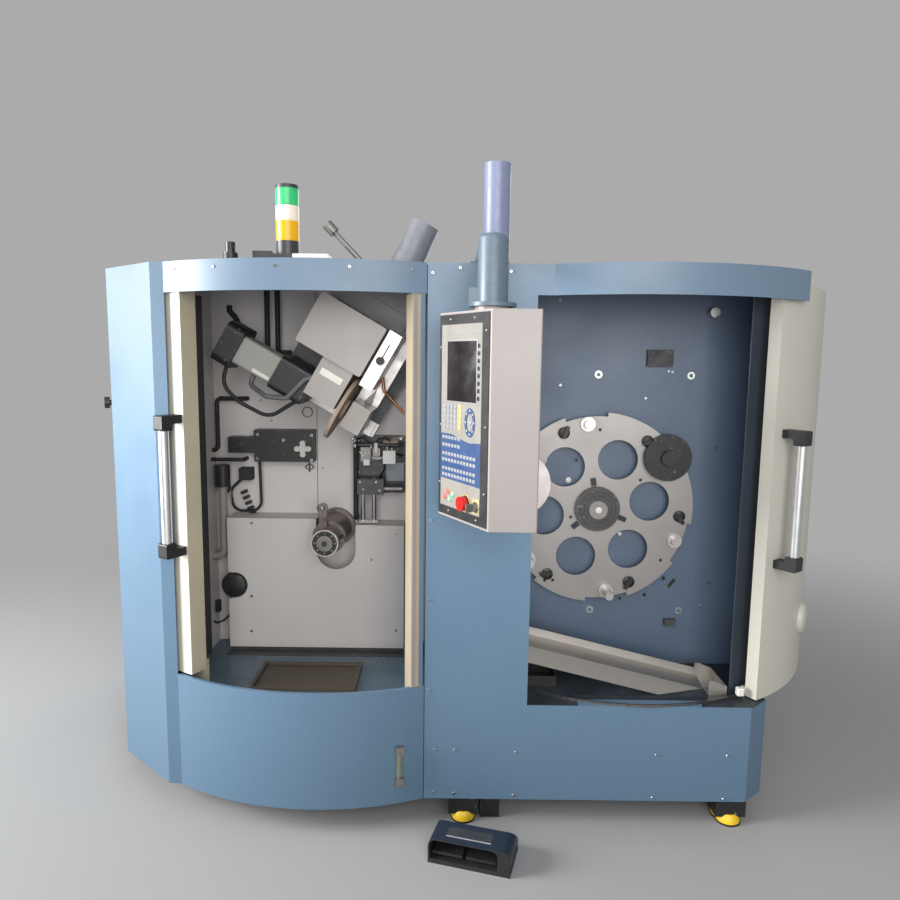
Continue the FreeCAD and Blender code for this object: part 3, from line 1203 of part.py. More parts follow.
def make_grinding_head():
    plate_back = BAY_BACK_Y - TURRET_DEPTH
    plate_y = plate_back - PLATE_THICKNESS
    rail_y = plate_y - HEAD_RAIL_DEPTH
    middle_u = (PLATE_LEFT + PLATE_RIGHT) / 2
    middle_v = (PLATE_LOW + PLATE_HIGH) / 2
    turret = rod(TURRET_RADIUS, vec(middle_u, plate_back + CONTACT_GAP, middle_v), BACK,
                 TURRET_DEPTH - CONTACT_GAP)
    save("head_turret", tilted(turret))

    plate = box((PLATE_LEFT, PLATE_RIGHT), (plate_y, plate_back), (PLATE_LOW, PLATE_HIGH))
    rails = []
    for u in (LEFT_RAIL_U, RIGHT_RAIL_U):
        half = HEAD_RAIL_WIDTH / 2
        rails.append(box((u - half, u + half), (rail_y, plate_y), (PLATE_LOW, PLATE_HIGH)))
    save("swivel_plate", tilted(fused(plate, *rails)))

    car_back = rail_y - CONTACT_GAP
    car_y = car_back - CARRIAGE_THICKNESS
    half = RUNNER_WIDTH / 2
    carriage = [box((LEFT_RAIL_U - half, RIGHT_RAIL_U + half), (car_y, car_back),
                    (CARRIAGE_LOW, CARRIAGE_HIGH))]
    for u in (LEFT_RAIL_U, RIGHT_RAIL_U):
        for v in (CARRIAGE_LOW, CARRIAGE_HIGH - RUNNER_LENGTH):
            runner = box((u - half, u + half), (car_back, car_back + HEAD_RAIL_DEPTH / 2),
                         (v, v + RUNNER_LENGTH))
            clear = HEAD_RAIL_WIDTH / 2 + CONTACT_GAP
            slot = box((u - clear, u + clear), (car_back, plate_y),
                       (v - OVERRUN, v + RUNNER_LENGTH + OVERRUN))
            carriage.append(runner.cut(slot))
    save("head_carriage", tilted(fused(*carriage)))

    big = box((COVER_BOX_LEFT, COVER_BOX_RIGHT), (COVER_BOX_FRONT_Y, car_y), (COVER_BOX_LOW, COVER_BOX_HIGH))
    small = box((BOX_LEFT, BOX_RIGHT), (BOX_FRONT_Y, car_y), (BOX_LOW, COVER_BOX_LOW))
    big = rounded(big, BACK, HEAD_EDGE_RADIUS)
    shaft_end = BOX_RIGHT + CONTACT_GAP

    motor = box((MOTOR_LEFT, MOTOR_RIGHT), (WHEEL_Y - MOTOR_HALF, WHEEL_Y + MOTOR_HALF),
                (-MOTOR_HALF, MOTOR_HALF))
    save("servo_motor", tilted(rounded(motor, RIGHT, MOTOR_CORNER)))
    cap_half = MOTOR_HALF + MOTOR_CAP_MARGIN
    cap = box((MOTOR_LEFT - MOTOR_CAP, MOTOR_LEFT), (WHEEL_Y - cap_half, WHEEL_Y + cap_half),
              (-cap_half, cap_half))
    coupling = box((MOTOR_RIGHT, BOX_LEFT), (WHEEL_Y - COUPLING_HALF, car_y),
                   (-COUPLING_HALF, COUPLING_HALF))
    cap = rounded(cap, RIGHT, MOTOR_CAP_CORNER)
    coupling = rounded(coupling, RIGHT, COUPLING_CORNER)
    loop = bent_pipe(LOOP_HOSE_RADIUS, LOOP_HOSE_BEND, [vec(u, LOOP_HOSE_Y, v) for u, v in LOOP_HOSE_LINE])
    hose = bent_pipe(GREY_HOSE_RADIUS, GREY_HOSE_BEND, [vec(*point) for point in GREY_HOSE_LINE])
    hose = hose.cut([motor, coupling, small])
    save("motor_coupling", tilted(cap), tilted(coupling), tilted(loop.cut([cap, coupling])), tilted(hose))

    half = WHEEL_THICKNESS / 2
    wheel = rod(WHEEL_RADIUS, vec(-half, WHEEL_Y, 0), RIGHT, WHEEL_THICKNESS)
    hub = rod(WHEEL_HUB_RADIUS, vec(half, WHEEL_Y, 0), RIGHT, WHEEL_HUB)
    spindle = rod(SPINDLE_RADIUS, vec(shaft_end - SPINDLE_LENGTH, WHEEL_Y, 0), RIGHT,
                  SPINDLE_LENGTH - shaft_end)
    bore = rod(SPINDLE_RADIUS + BORE_GAP, vec(shaft_end - SPINDLE_LENGTH - CONTACT_GAP, WHEEL_Y, 0), RIGHT,
               SPINDLE_LENGTH + OVERRUN)
    save("grinding_wheel", tilted(fused(wheel, hub, spindle)))
    save("spindle_cover", tilted(fused(big, small).cut(bore)))

    plate = box((GUARD_PLATE_LEFT, GUARD_PLATE_RIGHT), (GUARD_FRONT_Y, GUARD_BACK_Y),
                (GUARD_PLATE_LOW, GUARD_PLATE_HIGH))
    hollow = rod(WHEEL_RADIUS + OVERRUN, vec(GUARD_PLATE_LEFT - OVERRUN, WHEEL_Y, 0), RIGHT,
                 GUARD_PLATE_RIGHT - GUARD_PLATE_LEFT + 2 * OVERRUN)
    plate = plate.cut(hollow)
    arm = box((GUARD_PLATE_LEFT, GUARD_BOX_RIGHT), (GUARD_BACK_Y, car_y), (GUARD_BOX_LOW, GUARD_PLATE_HIGH))
    guard_box = box((GUARD_BOX_LEFT, GUARD_BOX_RIGHT), (GUARD_BOX_FRONT_Y, GUARD_BACK_Y),
                    (GUARD_BOX_LOW, GUARD_BOX_HIGH))
    knob_u = (GUARD_PLATE_LEFT + GUARD_PLATE_RIGHT) / 2
    knob_v = (GUARD_PLATE_LOW + GUARD_PLATE_HIGH) / 2
    knob = rod(GUARD_KNOB_RADIUS, vec(knob_u, GUARD_FRONT_Y - GUARD_KNOB, knob_v), BACK, GUARD_KNOB)
    pipe = bent_pipe(COOLANT_PIPE_RADIUS, COOLANT_PIPE_BEND, [vec(*point) for point in COOLANT_PIPE_LINE])
    pipe = pipe.cut([plate, arm])
    save("wheel_guard", tilted(fused(plate, arm)), tilted(guard_box), tilted(knob), tilted(pipe))


def make_gear_unit():
    arm = box((GEAR_LEFT_X, GEAR_STEP_X), (GEAR_FRONT_Y, BAY_BACK_Y), (GEAR_ARM_LOW, GEAR_ARM_HIGH))
    body = box((GEAR_STEP_X, GEAR_RIGHT_X), (GEAR_FRONT_Y, BAY_BACK_Y), (GEAR_LOW, GEAR_HIGH))
    bore = rod(STAR_SHAFT_RADIUS + BORE_GAP, vec(STAR_X, GEAR_FRONT_Y - OVERRUN, STAR_Z), BACK,
               STAR_SHAFT + 2 * OVERRUN)
    save("gearbox_unit", fused(arm, body).cut(bore))
    back = GEAR_FRONT_Y - CONTACT_GAP
    front = back - STAR_THICKNESS
    hub = rod(STAR_HUB_RADIUS, vec(STAR_X, front, STAR_Z), BACK, STAR_THICKNESS)
    lobes = []
    for index in range(STAR_LOBE_COUNT):
        x, z = polar(STAR_X, STAR_Z, STAR_LOBE_CIRCLE_RADIUS, FULL_TURN / STAR_LOBE_COUNT * index)
        lobes.append(rod(STAR_LOBE_RADIUS, vec(x, front, z), BACK, STAR_THICKNESS))
    shaft = rod(STAR_SHAFT_RADIUS, vec(STAR_X, back, STAR_Z), BACK, STAR_SHAFT)
    save("star_knob", fused(hub, *lobes, shaft))


def make_clamp_unit():
    """Blade clamp: a guide block on a back plate, and two rods that carry the pressing foot."""
    back = BAY_BACK_Y - CLAMP_PLATE
    plate = box((CLAMP_LEFT_X, CLAMP_RIGHT_X), (back, BAY_BACK_Y), (CLAMP_LOW, CLAMP_HIGH))
    block = box(CLAMP_HEAD_X, (CLAMP_HEAD_FRONT_Y, back), (CLAMP_HEAD_LOW, CLAMP_HEAD_HIGH))
    valve = box(VALVE_X, (VALVE_FRONT_Y, back), (VALVE_LOW, VALVE_HIGH))
    cylinder = rod(CYLINDER_RADIUS, vec(CYLINDER_X[0], CYLINDER_Y, CYLINDER_Z), RIGHT,
                   CYLINDER_X[1] - CYLINDER_X[0])
    low_cylinder = rod(CYLINDER_RADIUS, vec(LOW_CYLINDER_X[0], LOW_CYLINDER_Y, LOW_CYLINDER_Z), RIGHT,
                       LOW_CYLINDER_X[1] - LOW_CYLINDER_X[0])
    bodies = [box(x_range, (CLAMP_BLOCK_FRONT_Y, back), z_range) for x_range, z_range in CLAMP_BLOCKS]
    frame = fused(plate, block, valve, cylinder, low_cylinder, *bodies)
    rods = []
    for x in CLAMP_ROD_X:
        low = CLAMP_FOOT_LOW + CLAMP_FOOT
        frame = frame.cut(rod(CLAMP_ROD_RADIUS + BORE_GAP, vec(x, CLAMP_ROD_Y, low), UP, CLAMP_HIGH - low))
        rods.append(rod(CLAMP_ROD_RADIUS, vec(x, CLAMP_ROD_Y, low), UP, CLAMP_HEAD_HIGH - low))
    tube = bent_pipe(CLAMP_TUBE_RADIUS, CLAMP_TUBE_BEND, [
        vec(CLAMP_TUBE_X[0], back, CLAMP_TUBE_Z), vec(CLAMP_TUBE_X[0], CLAMP_TUBE_Y, CLAMP_TUBE_Z),
        vec(CLAMP_TUBE_X[1], CLAMP_TUBE_Y, CLAMP_TUBE_Z), vec(CLAMP_TUBE_X[1], back, CLAMP_TUBE_Z),
    ])
    hose = bent_pipe(DOWN_HOSE_RADIUS, DOWN_HOSE_BEND, [
        vec(DOWN_HOSE_X, back, DOWN_HOSE_HIGH), vec(DOWN_HOSE_X, DOWN_HOSE_Y, DOWN_HOSE_HIGH),
        vec(DOWN_HOSE_X, DOWN_HOSE_Y, DOWN_HOSE_LOW), vec(DOWN_HOSE_X, BAY_BACK_Y, DOWN_HOSE_LOW),
    ])
    save("clamp_frame", frame, tube, hose)
    half = CLAMP_FOOT_DEPTH / 2
    foot = box(CLAMP_FOOT_X, (CLAMP_ROD_Y - half, CLAMP_ROD_Y + half),
               (CLAMP_FOOT_LOW, CLAMP_FOOT_LOW + CLAMP_FOOT))
    save("clamp_rods", fused(foot, *rods))


def make_conduits():
    conduit = bent_pipe(CONDUIT_RADIUS, CONDUIT_BEND, [
        vec(CONDUIT_X, CONDUIT_Y, CONDUIT_TOP), vec(CONDUIT_X, CONDUIT_Y, CONDUIT_LOW),
        vec(BAY_WALL_X, CONDUIT_Y, CONDUIT_LOW),
    ])
    fitting = rod(FITTING_RADIUS, vec(CONDUIT_X, CONDUIT_Y, CONDUIT_TOP), UP, FITTING_TOP - CONDUIT_TOP)
    clip = box((CONDUIT_X, CONDUIT_X + CONDUIT_RADIUS), (CONDUIT_Y, BAY_BACK_Y),
               (CONDUIT_TOP - FITTING_RADIUS, CONDUIT_TOP))
    connector = box(CONNECTOR_X, (BAY_BACK_Y - CONNECTOR_DEPTH, BAY_BACK_Y), (CONNECTOR_LOW, CONNECTOR_HIGH))
    drops = [rod(DROP_PIPE_RADIUS, vec(x, DROP_PIPE_Y, DROP_PIPE_BOTTOM), UP, CEILING - DROP_PIPE_BOTTOM)
             for x in DROP_PIPE_X]
    middle = sum(DROP_PIPE_X) / len(DROP_PIPE_X)
    bar = box((middle - DROP_BAR_HALF, middle + DROP_BAR_HALF), (DROP_PIPE_Y, BAY_BACK_Y),
              (DROP_BAR_Z, DROP_BAR_Z + DROP_BAR_HEIGHT))
    run = [vec(x, WALL_PIPE_Y, z) for x, z in WALL_PIPE_LINE]
    wall_pipe = bent_pipe(WALL_PIPE_RADIUS, WALL_PIPE_BEND, [
        vec(BAY_WALL_X, WALL_PIPE_Y, run[0].z), *run, vec(run[-1].x, BAY_BACK_Y, run[-1].z),
    ])
    short_pipe = bent_pipe(SHORT_PIPE_RADIUS, WALL_PIPE_BEND, [
        vec(BAY_WALL_X, CONDUIT_Y, SHORT_PIPE_Z), vec(SHORT_PIPE_END_X, CONDUIT_Y, SHORT_PIPE_Z),
        vec(SHORT_PIPE_END_X, BAY_BACK_Y, SHORT_PIPE_Z),
    ])
    cable = bent_pipe(CABLE_RADIUS, CABLE_BEND, [vec(x, WALL_PIPE_Y, z) for x, z in CABLE_LINE])
    cable = cable.cut([connector, PIECES["gearbox_unit"][0]])
    save("bay_conduits", fused(conduit, fitting, clip), connector, fused(bar, *drops), wall_pipe, short_pipe,
         cable)


def make_magazine():
    face = MAGAZINE_FACE_Y
    back = face + MAGAZINE_THICKNESS

    def disc(radius, x, z, front, depth):
        return rod(radius, vec(x, front, z), BACK, depth)

    plate = disc(MAGAZINE_RADIUS - MAGAZINE_STEP, MAGAZINE_X, MAGAZINE_Z, face, MAGAZINE_THICKNESS)
    steps = []
    for index in range(STATION_COUNT):
        turn = STATION_ANGLE + FULL_TURN / STATION_COUNT * (index + 1 / 2)
        corners = [polar(MAGAZINE_X, MAGAZINE_Z, radius, turn + side * MAGAZINE_STEP_ANGLE)
                   for radius, side in ((WINDOW_CIRCLE_RADIUS, -1), (STEP_REACH, -1),
                                        (STEP_REACH, 1), (WINDOW_CIRCLE_RADIUS, 1))]
        wedge = front_prism(corners, face, back)
        steps.append(wedge.common(disc(MAGAZINE_RADIUS, MAGAZINE_X, MAGAZINE_Z, face, MAGAZINE_THICKNESS)))
    holes = []
    for index in range(STATION_COUNT):
        x, z = polar(MAGAZINE_X, MAGAZINE_Z, WINDOW_CIRCLE_RADIUS,
                     WINDOW_ANGLE + FULL_TURN / STATION_COUNT * index)
        holes.append(disc(WINDOW_RADIUS, x, z, face - OVERRUN, MAGAZINE_THICKNESS + 2 * OVERRUN))
    shaft_hole = disc(MAGAZINE_SHAFT_RADIUS, MAGAZINE_X, MAGAZINE_Z, face - OVERRUN,
                      MAGAZINE_THICKNESS + 2 * OVERRUN)
    save("magazine_disc", fused(plate, *steps).cut([*holes, shaft_hole]))

    hub = fused(
        disc(HUB_RADIUS, MAGAZINE_X, MAGAZINE_Z, face - HUB_THICKNESS, HUB_THICKNESS),
        disc(HUB_CAP_RADIUS, MAGAZINE_X, MAGAZINE_Z, face - HUB_THICKNESS - HUB_CAP, HUB_CAP),
        disc(MAGAZINE_SHAFT_RADIUS, MAGAZINE_X, MAGAZINE_Z, face, MAGAZINE_WALL_Y - face - CONTACT_GAP),
    )
    pegs = []
    for index in range(STATION_COUNT):
        x, z = polar(MAGAZINE_X, MAGAZINE_Z, STATION_CIRCLE_RADIUS,
                     STATION_ANGLE + FULL_TURN / STATION_COUNT * index)
        reach = LONG_PEG if index in LONG_PEG_STATIONS else SHORT_PEG
        pegs.append(fused(disc(PEG_RADIUS, x, z, face - PEG_BASE, PEG_BASE),
                          disc(PEG_STEP_RADIUS, x, z, face - PEG_BASE - reach, reach)))
    save("magazine_hub", hub, *pegs)

    blacks = []
    x, z = polar(MAGAZINE_X, MAGAZINE_Z, STATION_CIRCLE_RADIUS,
                 STATION_ANGLE + FULL_TURN / STATION_COUNT * FLANGE_STATION)
    flange_back = face - PEG_BASE
    collar = fused(disc(FLANGE_RADIUS, x, z, flange_back - FLANGE_THICKNESS, FLANGE_THICKNESS),
                   disc(FLANGE_BOSS_RADIUS, x, z, flange_back - FLANGE_THICKNESS - FLANGE_BOSS, FLANGE_BOSS))
    blacks.append(collar.cut(disc(PEG_STEP_RADIUS, x, z, flange_back - SHORT_PEG, SHORT_PEG)))
    for index in range(STATION_COUNT):
        turn = KNOB_ANGLE + FULL_TURN / STATION_COUNT * index
        x, z = polar(MAGAZINE_X, MAGAZINE_Z, KNOB_CIRCLE_RADIUS, turn)
        stem = disc(WING_RADIUS, x, z, face - WING_HEIGHT, WING_HEIGHT)
        wing = box((-WING_SPAN / 2, WING_SPAN / 2), (face - WING_HEIGHT, face - WING_FOOT),
                   (-WING_WIDTH / 2, WING_WIDTH / 2))
        wing.rotate(vec(0, 0, 0), BACK, WING_TURN - turn)
        wing.translate(vec(x, 0, z))
        blacks.append(fused(stem, wing))
    for index in range(CLIP_COUNT):
        turn = CLIP_ANGLE + FULL_TURN / CLIP_COUNT * index
        x, z = polar(MAGAZINE_X, MAGAZINE_Z, CLIP_CIRCLE_RADIUS, turn)
        clip = box((-CLIP_LENGTH / 2, CLIP_LENGTH / 2), (face - CLIP_THICKNESS, face),
                   (-CLIP_WIDTH / 2, CLIP_WIDTH / 2))
        clip.rotate(vec(0, 0, 0), BACK, -turn)
        clip.translate(vec(x, 0, z))
        blacks.append(clip)
    save("magazine_knobs", *blacks)

    boss_y = back + CONTACT_GAP
    boss = disc(BEARING_RADIUS, MAGAZINE_X, MAGAZINE_Z, boss_y, MAGAZINE_WALL_Y - boss_y)
    bore = disc(MAGAZINE_SHAFT_RADIUS + BORE_GAP, MAGAZINE_X, MAGAZINE_Z, boss_y - OVERRUN,
                MAGAZINE_WALL_Y - boss_y + OVERRUN)
    save("magazine_bearing", boss.cut(bore))


def make_loader():
    low = LOADER_Z - LOADER_BEAM_HEIGHT / 2
    high = LOADER_Z + LOADER_BEAM_HEIGHT / 2
    beam_back = LOADER_STAND_Y + LOADER_BEAM_DEPTH
    beam = box((LOADER_BEAM_LEFT_X, LOADER_BEAM_RIGHT_X), (LOADER_STAND_Y, beam_back), (low, high))
    stands = [box((x, x + LOADER_BEAM_DEPTH), (SHEET, LOADER_STAND_Y), (low, high))
              for x in (LOADER_BEAM_LEFT_X, LOADER_BEAM_RIGHT_X - LOADER_BEAM_DEPTH)]
    save("loader_beam", fused(beam, *stands))

    half = LOADER_CAR_WIDTH / 2
    car_front = beam_back + CONTACT_GAP
    car_back = car_front + LOADER_CAR_DEPTH
    car = box((LOADER_CAR_X - half, LOADER_CAR_X + half), (car_front, car_back),
              (low - LOADER_LIP, high + LOADER_LIP))
    hooks = [
        box((LOADER_CAR_X - half, LOADER_CAR_X + half), (LOADER_STAND_Y, car_front),
            (low - LOADER_LIP, low - CONTACT_GAP)),
        box((LOADER_CAR_X - half, LOADER_CAR_X + half), (LOADER_STAND_Y, car_front),
            (high + CONTACT_GAP, high + LOADER_LIP)),
    ]
    arm_z = (LOADER_Z - LOADER_ARM_HEIGHT / 2, LOADER_Z + LOADER_ARM_HEIGHT / 2)
    arm = box((LOADER_CAR_X, GRIPPER_X), (car_back, car_back + LOADER_ARM_DEPTH), arm_z)
    wrist_y = car_back + LOADER_ARM_DEPTH
    wrist = rod(GRIPPER_BOSS_RADIUS, vec(GRIPPER_X, car_back, LOADER_Z), BACK, GRIPPER_Y - car_back)
    plate = rod(GRIPPER_RADIUS, vec(GRIPPER_X, GRIPPER_Y, LOADER_Z), BACK, GRIPPER_THICKNESS)
    magnets = []
    for index in range(MAGNET_COUNT):
        x, z = polar(GRIPPER_X, LOADER_Z, MAGNET_CIRCLE_RADIUS, 90 + FULL_TURN / MAGNET_COUNT * index)
        magnets.append(rod(MAGNET_RADIUS, vec(x, GRIPPER_Y + GRIPPER_THICKNESS, z), BACK, MAGNET_HEIGHT))
    save("loader_gripper", fused(car, *hooks, arm, wrist, plate, *magnets))


def make_chute():
    """Folded chute that falls to the right, and the hopper that it ends in."""
    fall = math.tan(math.radians(CHUTE_SLOPE)) * CHUTE_LENGTH
    line = [(CHUTE_BACK_Y, CHUTE_BACK_Z + CHUTE_LIP), (CHUTE_BACK_Y, CHUTE_BACK_Z),
            (CHUTE_FOLD_Y, CHUTE_FOLD_Z),
            (CHUTE_FRONT_Y, CHUTE_FRONT_Z)]
    back_line = inset_line(line, SHEET)[::-1]
    section = [vec(CHUTE_LEFT_X, y, z) for y, z in line + back_line]
    wire = Part.makePolygon(section + section[:1])
    chute = Part.Face(wire).extrude(vec(CHUTE_LENGTH, 0, -fall))
    floor = box((CHUTE_LEFT_X, RIGHT_SIDE_X), (0, MAGAZINE_WALL_Y), (0, FLOOR_TOP + CONTACT_GAP))
    hopper = front_prism([
        (HOPPER_LEFT_X, FLOOR_TOP), (HOPPER_RIGHT_X, FLOOR_TOP), (HOPPER_RIGHT_X, FLOOR_TOP + HOPPER_RISE),
        (HOPPER_TOP_X, FLOOR_TOP + HOPPER_HEIGHT), (HOPPER_LEFT_X, FLOOR_TOP + HOPPER_HEIGHT),
    ], CHUTE_FRONT_Y, CHUTE_BACK_Y + CHUTE_LIP)
    room = front_prism([
        (HOPPER_LEFT_X - OVERRUN, FLOOR_TOP + SHEET), (HOPPER_RIGHT_X - SHEET, FLOOR_TOP + SHEET),
        (HOPPER_RIGHT_X - SHEET, FLOOR_TOP + HOPPER_HEIGHT + OVERRUN),
        (HOPPER_LEFT_X - OVERRUN, FLOOR_TOP + HOPPER_HEIGHT + OVERRUN),
    ], CHUTE_FRONT_Y + SHEET, CHUTE_BACK_Y + CHUTE_LIP - SHEET)
    save("chute", chute.cut([floor, hopper]), hopper.cut(room))


def make_wall_fittings():
    half_w, half_h = SOCKET_WIDTH / 2, SOCKET_HEIGHT / 2
    plate = box((SOCKET_X - half_w, SOCKET_X + half_w), (MAGAZINE_WALL_Y - SOCKET_DEPTH, MAGAZINE_WALL_Y),
                (SOCKET_Z - half_h, SOCKET_Z + half_h))
    bolts = []
    for x in (WALL_BOLT_LEFT_X, WALL_BOLT_RIGHT_X):
        for z in (WALL_BOLT_LOW_Z, WALL_BOLT_HIGH_Z):
            bolts.append(rod(WALL_BOLT_RADIUS, vec(x, MAGAZINE_WALL_Y - WALL_BOLT, z), BACK, WALL_BOLT))
    lamp = rod(LAMP_RADIUS, vec(LAMP_X, MAGAZINE_WALL_Y - LAMP_LENGTH, LAMP_Z), BACK, LAMP_LENGTH)
    sensor = box((SENSOR_X - SENSOR_WIDTH / 2, SENSOR_X + SENSOR_WIDTH / 2),
                 (MAGAZINE_WALL_Y - SENSOR_DEPTH, MAGAZINE_WALL_Y),
                 (SENSOR_Z - SENSOR_HEIGHT / 2, SENSOR_Z + SENSOR_HEIGHT / 2))
    drip_bin = box((BIN_LEFT_X, BIN_RIGHT_X), (BIN_FRONT_Y, BIN_BACK_Y), (FLOOR_TOP, FLOOR_TOP + BIN_HEIGHT))
    room = box((BIN_LEFT_X + BIN_WALL, BIN_RIGHT_X - BIN_WALL),
               (BIN_FRONT_Y + BIN_WALL, BIN_BACK_Y - BIN_WALL),
               (FLOOR_TOP + BIN_WALL, FLOOR_TOP + BIN_HEIGHT + OVERRUN))
    save("wall_fittings", plate, *bolts, lamp, sensor, drip_bin.cut(room))


def make_support_arm():
    """Post that hangs in front of the cabinet from a beam bolted down on the roof."""
    flange_top = CONSOLE_TOP + CONSOLE_NECK + CONTACT_GAP + ARM_FLANGE
    beam_low = ROOF_TOP + ARM_FOOT
    half = ARM_BEAM_WIDTH / 2
    post = rod(ARM_RADIUS, vec(ARM_X, ARM_Y, flange_top), UP, ARM_TOP - flange_top)
    post = post.makeFillet(ARM_EDGE_RADIUS,
                           [edge for edge in post.Edges if edge.CenterOfMass.z > ARM_TOP - SMALL])
    beam = box((ARM_X - half, ARM_X + half), (ARM_Y, ARM_BEAM_BACK_Y), (beam_low, ARM_TOP))
    beam = rounded(beam, BACK, ARM_EDGE_RADIUS)
    flange = rod(ARM_FLANGE_RADIUS, vec(ARM_X, ARM_Y, flange_top - ARM_FLANGE), UP, ARM_FLANGE)
    half = ARM_FOOT_WIDTH / 2
    foot = box((ARM_X - half, ARM_X + half), (ARM_FOOT_FRONT_Y, ARM_FOOT_BACK_Y), (ROOF_TOP, beam_low))
    foot = rounded(foot, UP, ARM_EDGE_RADIUS)
    half = LATCH_BLOCK_WIDTH / 2
    latch_x = ARM_X - ARM_FLANGE_RADIUS + half
    latch = box((latch_x - half, latch_x + half), (ARM_Y - half, ARM_Y + half),
                (flange_top, flange_top + LATCH_BLOCK_HEIGHT))
    bore = rod(CONSOLE_PIN_RADIUS + BORE_GAP, vec(ARM_X, ARM_Y, flange_top - ARM_FLANGE - OVERRUN), UP,
               CONSOLE_PIN + OVERRUN + CONTACT_GAP)
    save("support_arm", fused(post, beam, flange, foot).cut(bore), latch.cut(post))


def console_face_frame():
    """Foot, along and outward directions of the console's front face in plan."""
    (ax, ay), (cx, cy) = CONSOLE_CORNERS[0], CONSOLE_CORNERS[-1]
    width = math.hypot(ax - cx, ay - cy)
    along = vec((ax - cx) / width, (ay - cy) / width, 0)
    outward = vec(along.y, -along.x, 0)
    return vec(cx, cy, 0), along, outward, width


def on_face(shape):
    """Turn a piece drawn with X along the face and Y into the console onto the console's face."""
    corner, along, _, _ = console_face_frame()
    shape = shape.copy()
    shape.rotate(vec(0, 0, 0), UP, math.degrees(math.atan2(along.y, along.x)))
    shape.translate(corner)
    return shape


def make_console():
    _, _, _, width = console_face_frame()
    body = plan_prism(CONSOLE_CORNERS, CONSOLE_BOTTOM, CONSOLE_TOP)
    body = rounded(body, UP, CONSOLE_EDGE_RADIUS)
    recess = on_face(box((FACE_MARGIN, width - FACE_MARGIN), (-OVERRUN, FACE_RECESS),
                         (CONSOLE_BOTTOM + FACE_MARGIN, CONSOLE_TOP - FACE_MARGIN)))
    neck_z = CONSOLE_TOP
    neck = rod(CONSOLE_NECK_RADIUS, vec(ARM_X, ARM_Y, neck_z), UP, CONSOLE_NECK)
    pin = rod(CONSOLE_PIN_RADIUS, vec(ARM_X, ARM_Y, neck_z), UP, CONSOLE_NECK + CONSOLE_PIN)
    wells = []
    for offset, z, radius in ((ESTOP_OFFSET, ESTOP_Z, ESTOP_STEM_RADIUS), (KEY_OFFSET, KEY_Z, KEY_RADIUS)):
        wells.append(on_face(rod(radius + CONTACT_GAP, vec(offset, -OVERRUN, z), BACK,
                                 OVERRUN + CONTROL_WELL)))
    save("console_housing", fused(body.cut([recess, *wells]), neck, pin))

    face_y = FACE_RECESS - FACE_THICKNESS
    x_range = (FACE_MARGIN + CONTACT_GAP, width - FACE_MARGIN - CONTACT_GAP)
    z_range = (CONSOLE_BOTTOM + FACE_MARGIN + CONTACT_GAP, CONSOLE_TOP - FACE_MARGIN - CONTACT_GAP)
    plate = box(x_range, (face_y, FACE_RECESS), z_range)
    field = box((x_range[0] + BEZEL_LEFT, x_range[1] - BEZEL_RIGHT),
                (face_y - OVERRUN, face_y + SCREEN_RECESS / 2),
                (z_range[0] + BEZEL_BOTTOM, z_range[1] - BEZEL_TOP))
    screen_top = z_range[1] - SCREEN_TOP_MARGIN
    screen = box((x_range[0] + SCREEN_LEFT_MARGIN, x_range[1] - SCREEN_RIGHT_MARGIN),
                 (face_y - OVERRUN, face_y + SCREEN_RECESS), (screen_top - SCREEN_HEIGHT, screen_top))
    holes = []
    for offset, z, radius in ((ESTOP_OFFSET, ESTOP_Z, ESTOP_STEM_RADIUS), (KEY_OFFSET, KEY_Z, KEY_RADIUS)):
        holes.append(rod(radius + CONTACT_GAP, vec(offset, -CONTROL_WELL, z), BACK, 2 * CONTROL_WELL))
    save("console_face", on_face(plate.cut([field, screen, *holes])))

    stem_y = face_y + SCREEN_RECESS / 2
    head_back = stem_y - ESTOP_TRAVEL - CONTACT_GAP
    head = rod(ESTOP_RADIUS, vec(ESTOP_OFFSET, head_back - ESTOP_HEAD, ESTOP_Z), BACK, ESTOP_HEAD)
    stem = rod(ESTOP_STEM_RADIUS, vec(ESTOP_OFFSET, head_back, ESTOP_Z), BACK, ESTOP_TRAVEL + ESTOP_STEM)
    save("estop_button", on_face(fused(head, stem)))
    barrel = rod(KEY_RADIUS, vec(KEY_OFFSET, stem_y - KEY_HEIGHT, KEY_Z), BACK, KEY_HEIGHT + ESTOP_STEM)
    bow = box((KEY_OFFSET - KEY_BOW_WIDTH / 2, KEY_OFFSET + KEY_BOW_WIDTH / 2),
              (stem_y - KEY_HEIGHT - KEY_BOW, stem_y - KEY_HEIGHT), (KEY_Z - KEY_RADIUS, KEY_Z + KEY_RADIUS))
    save("key_switch", on_face(fused(barrel, bow)))


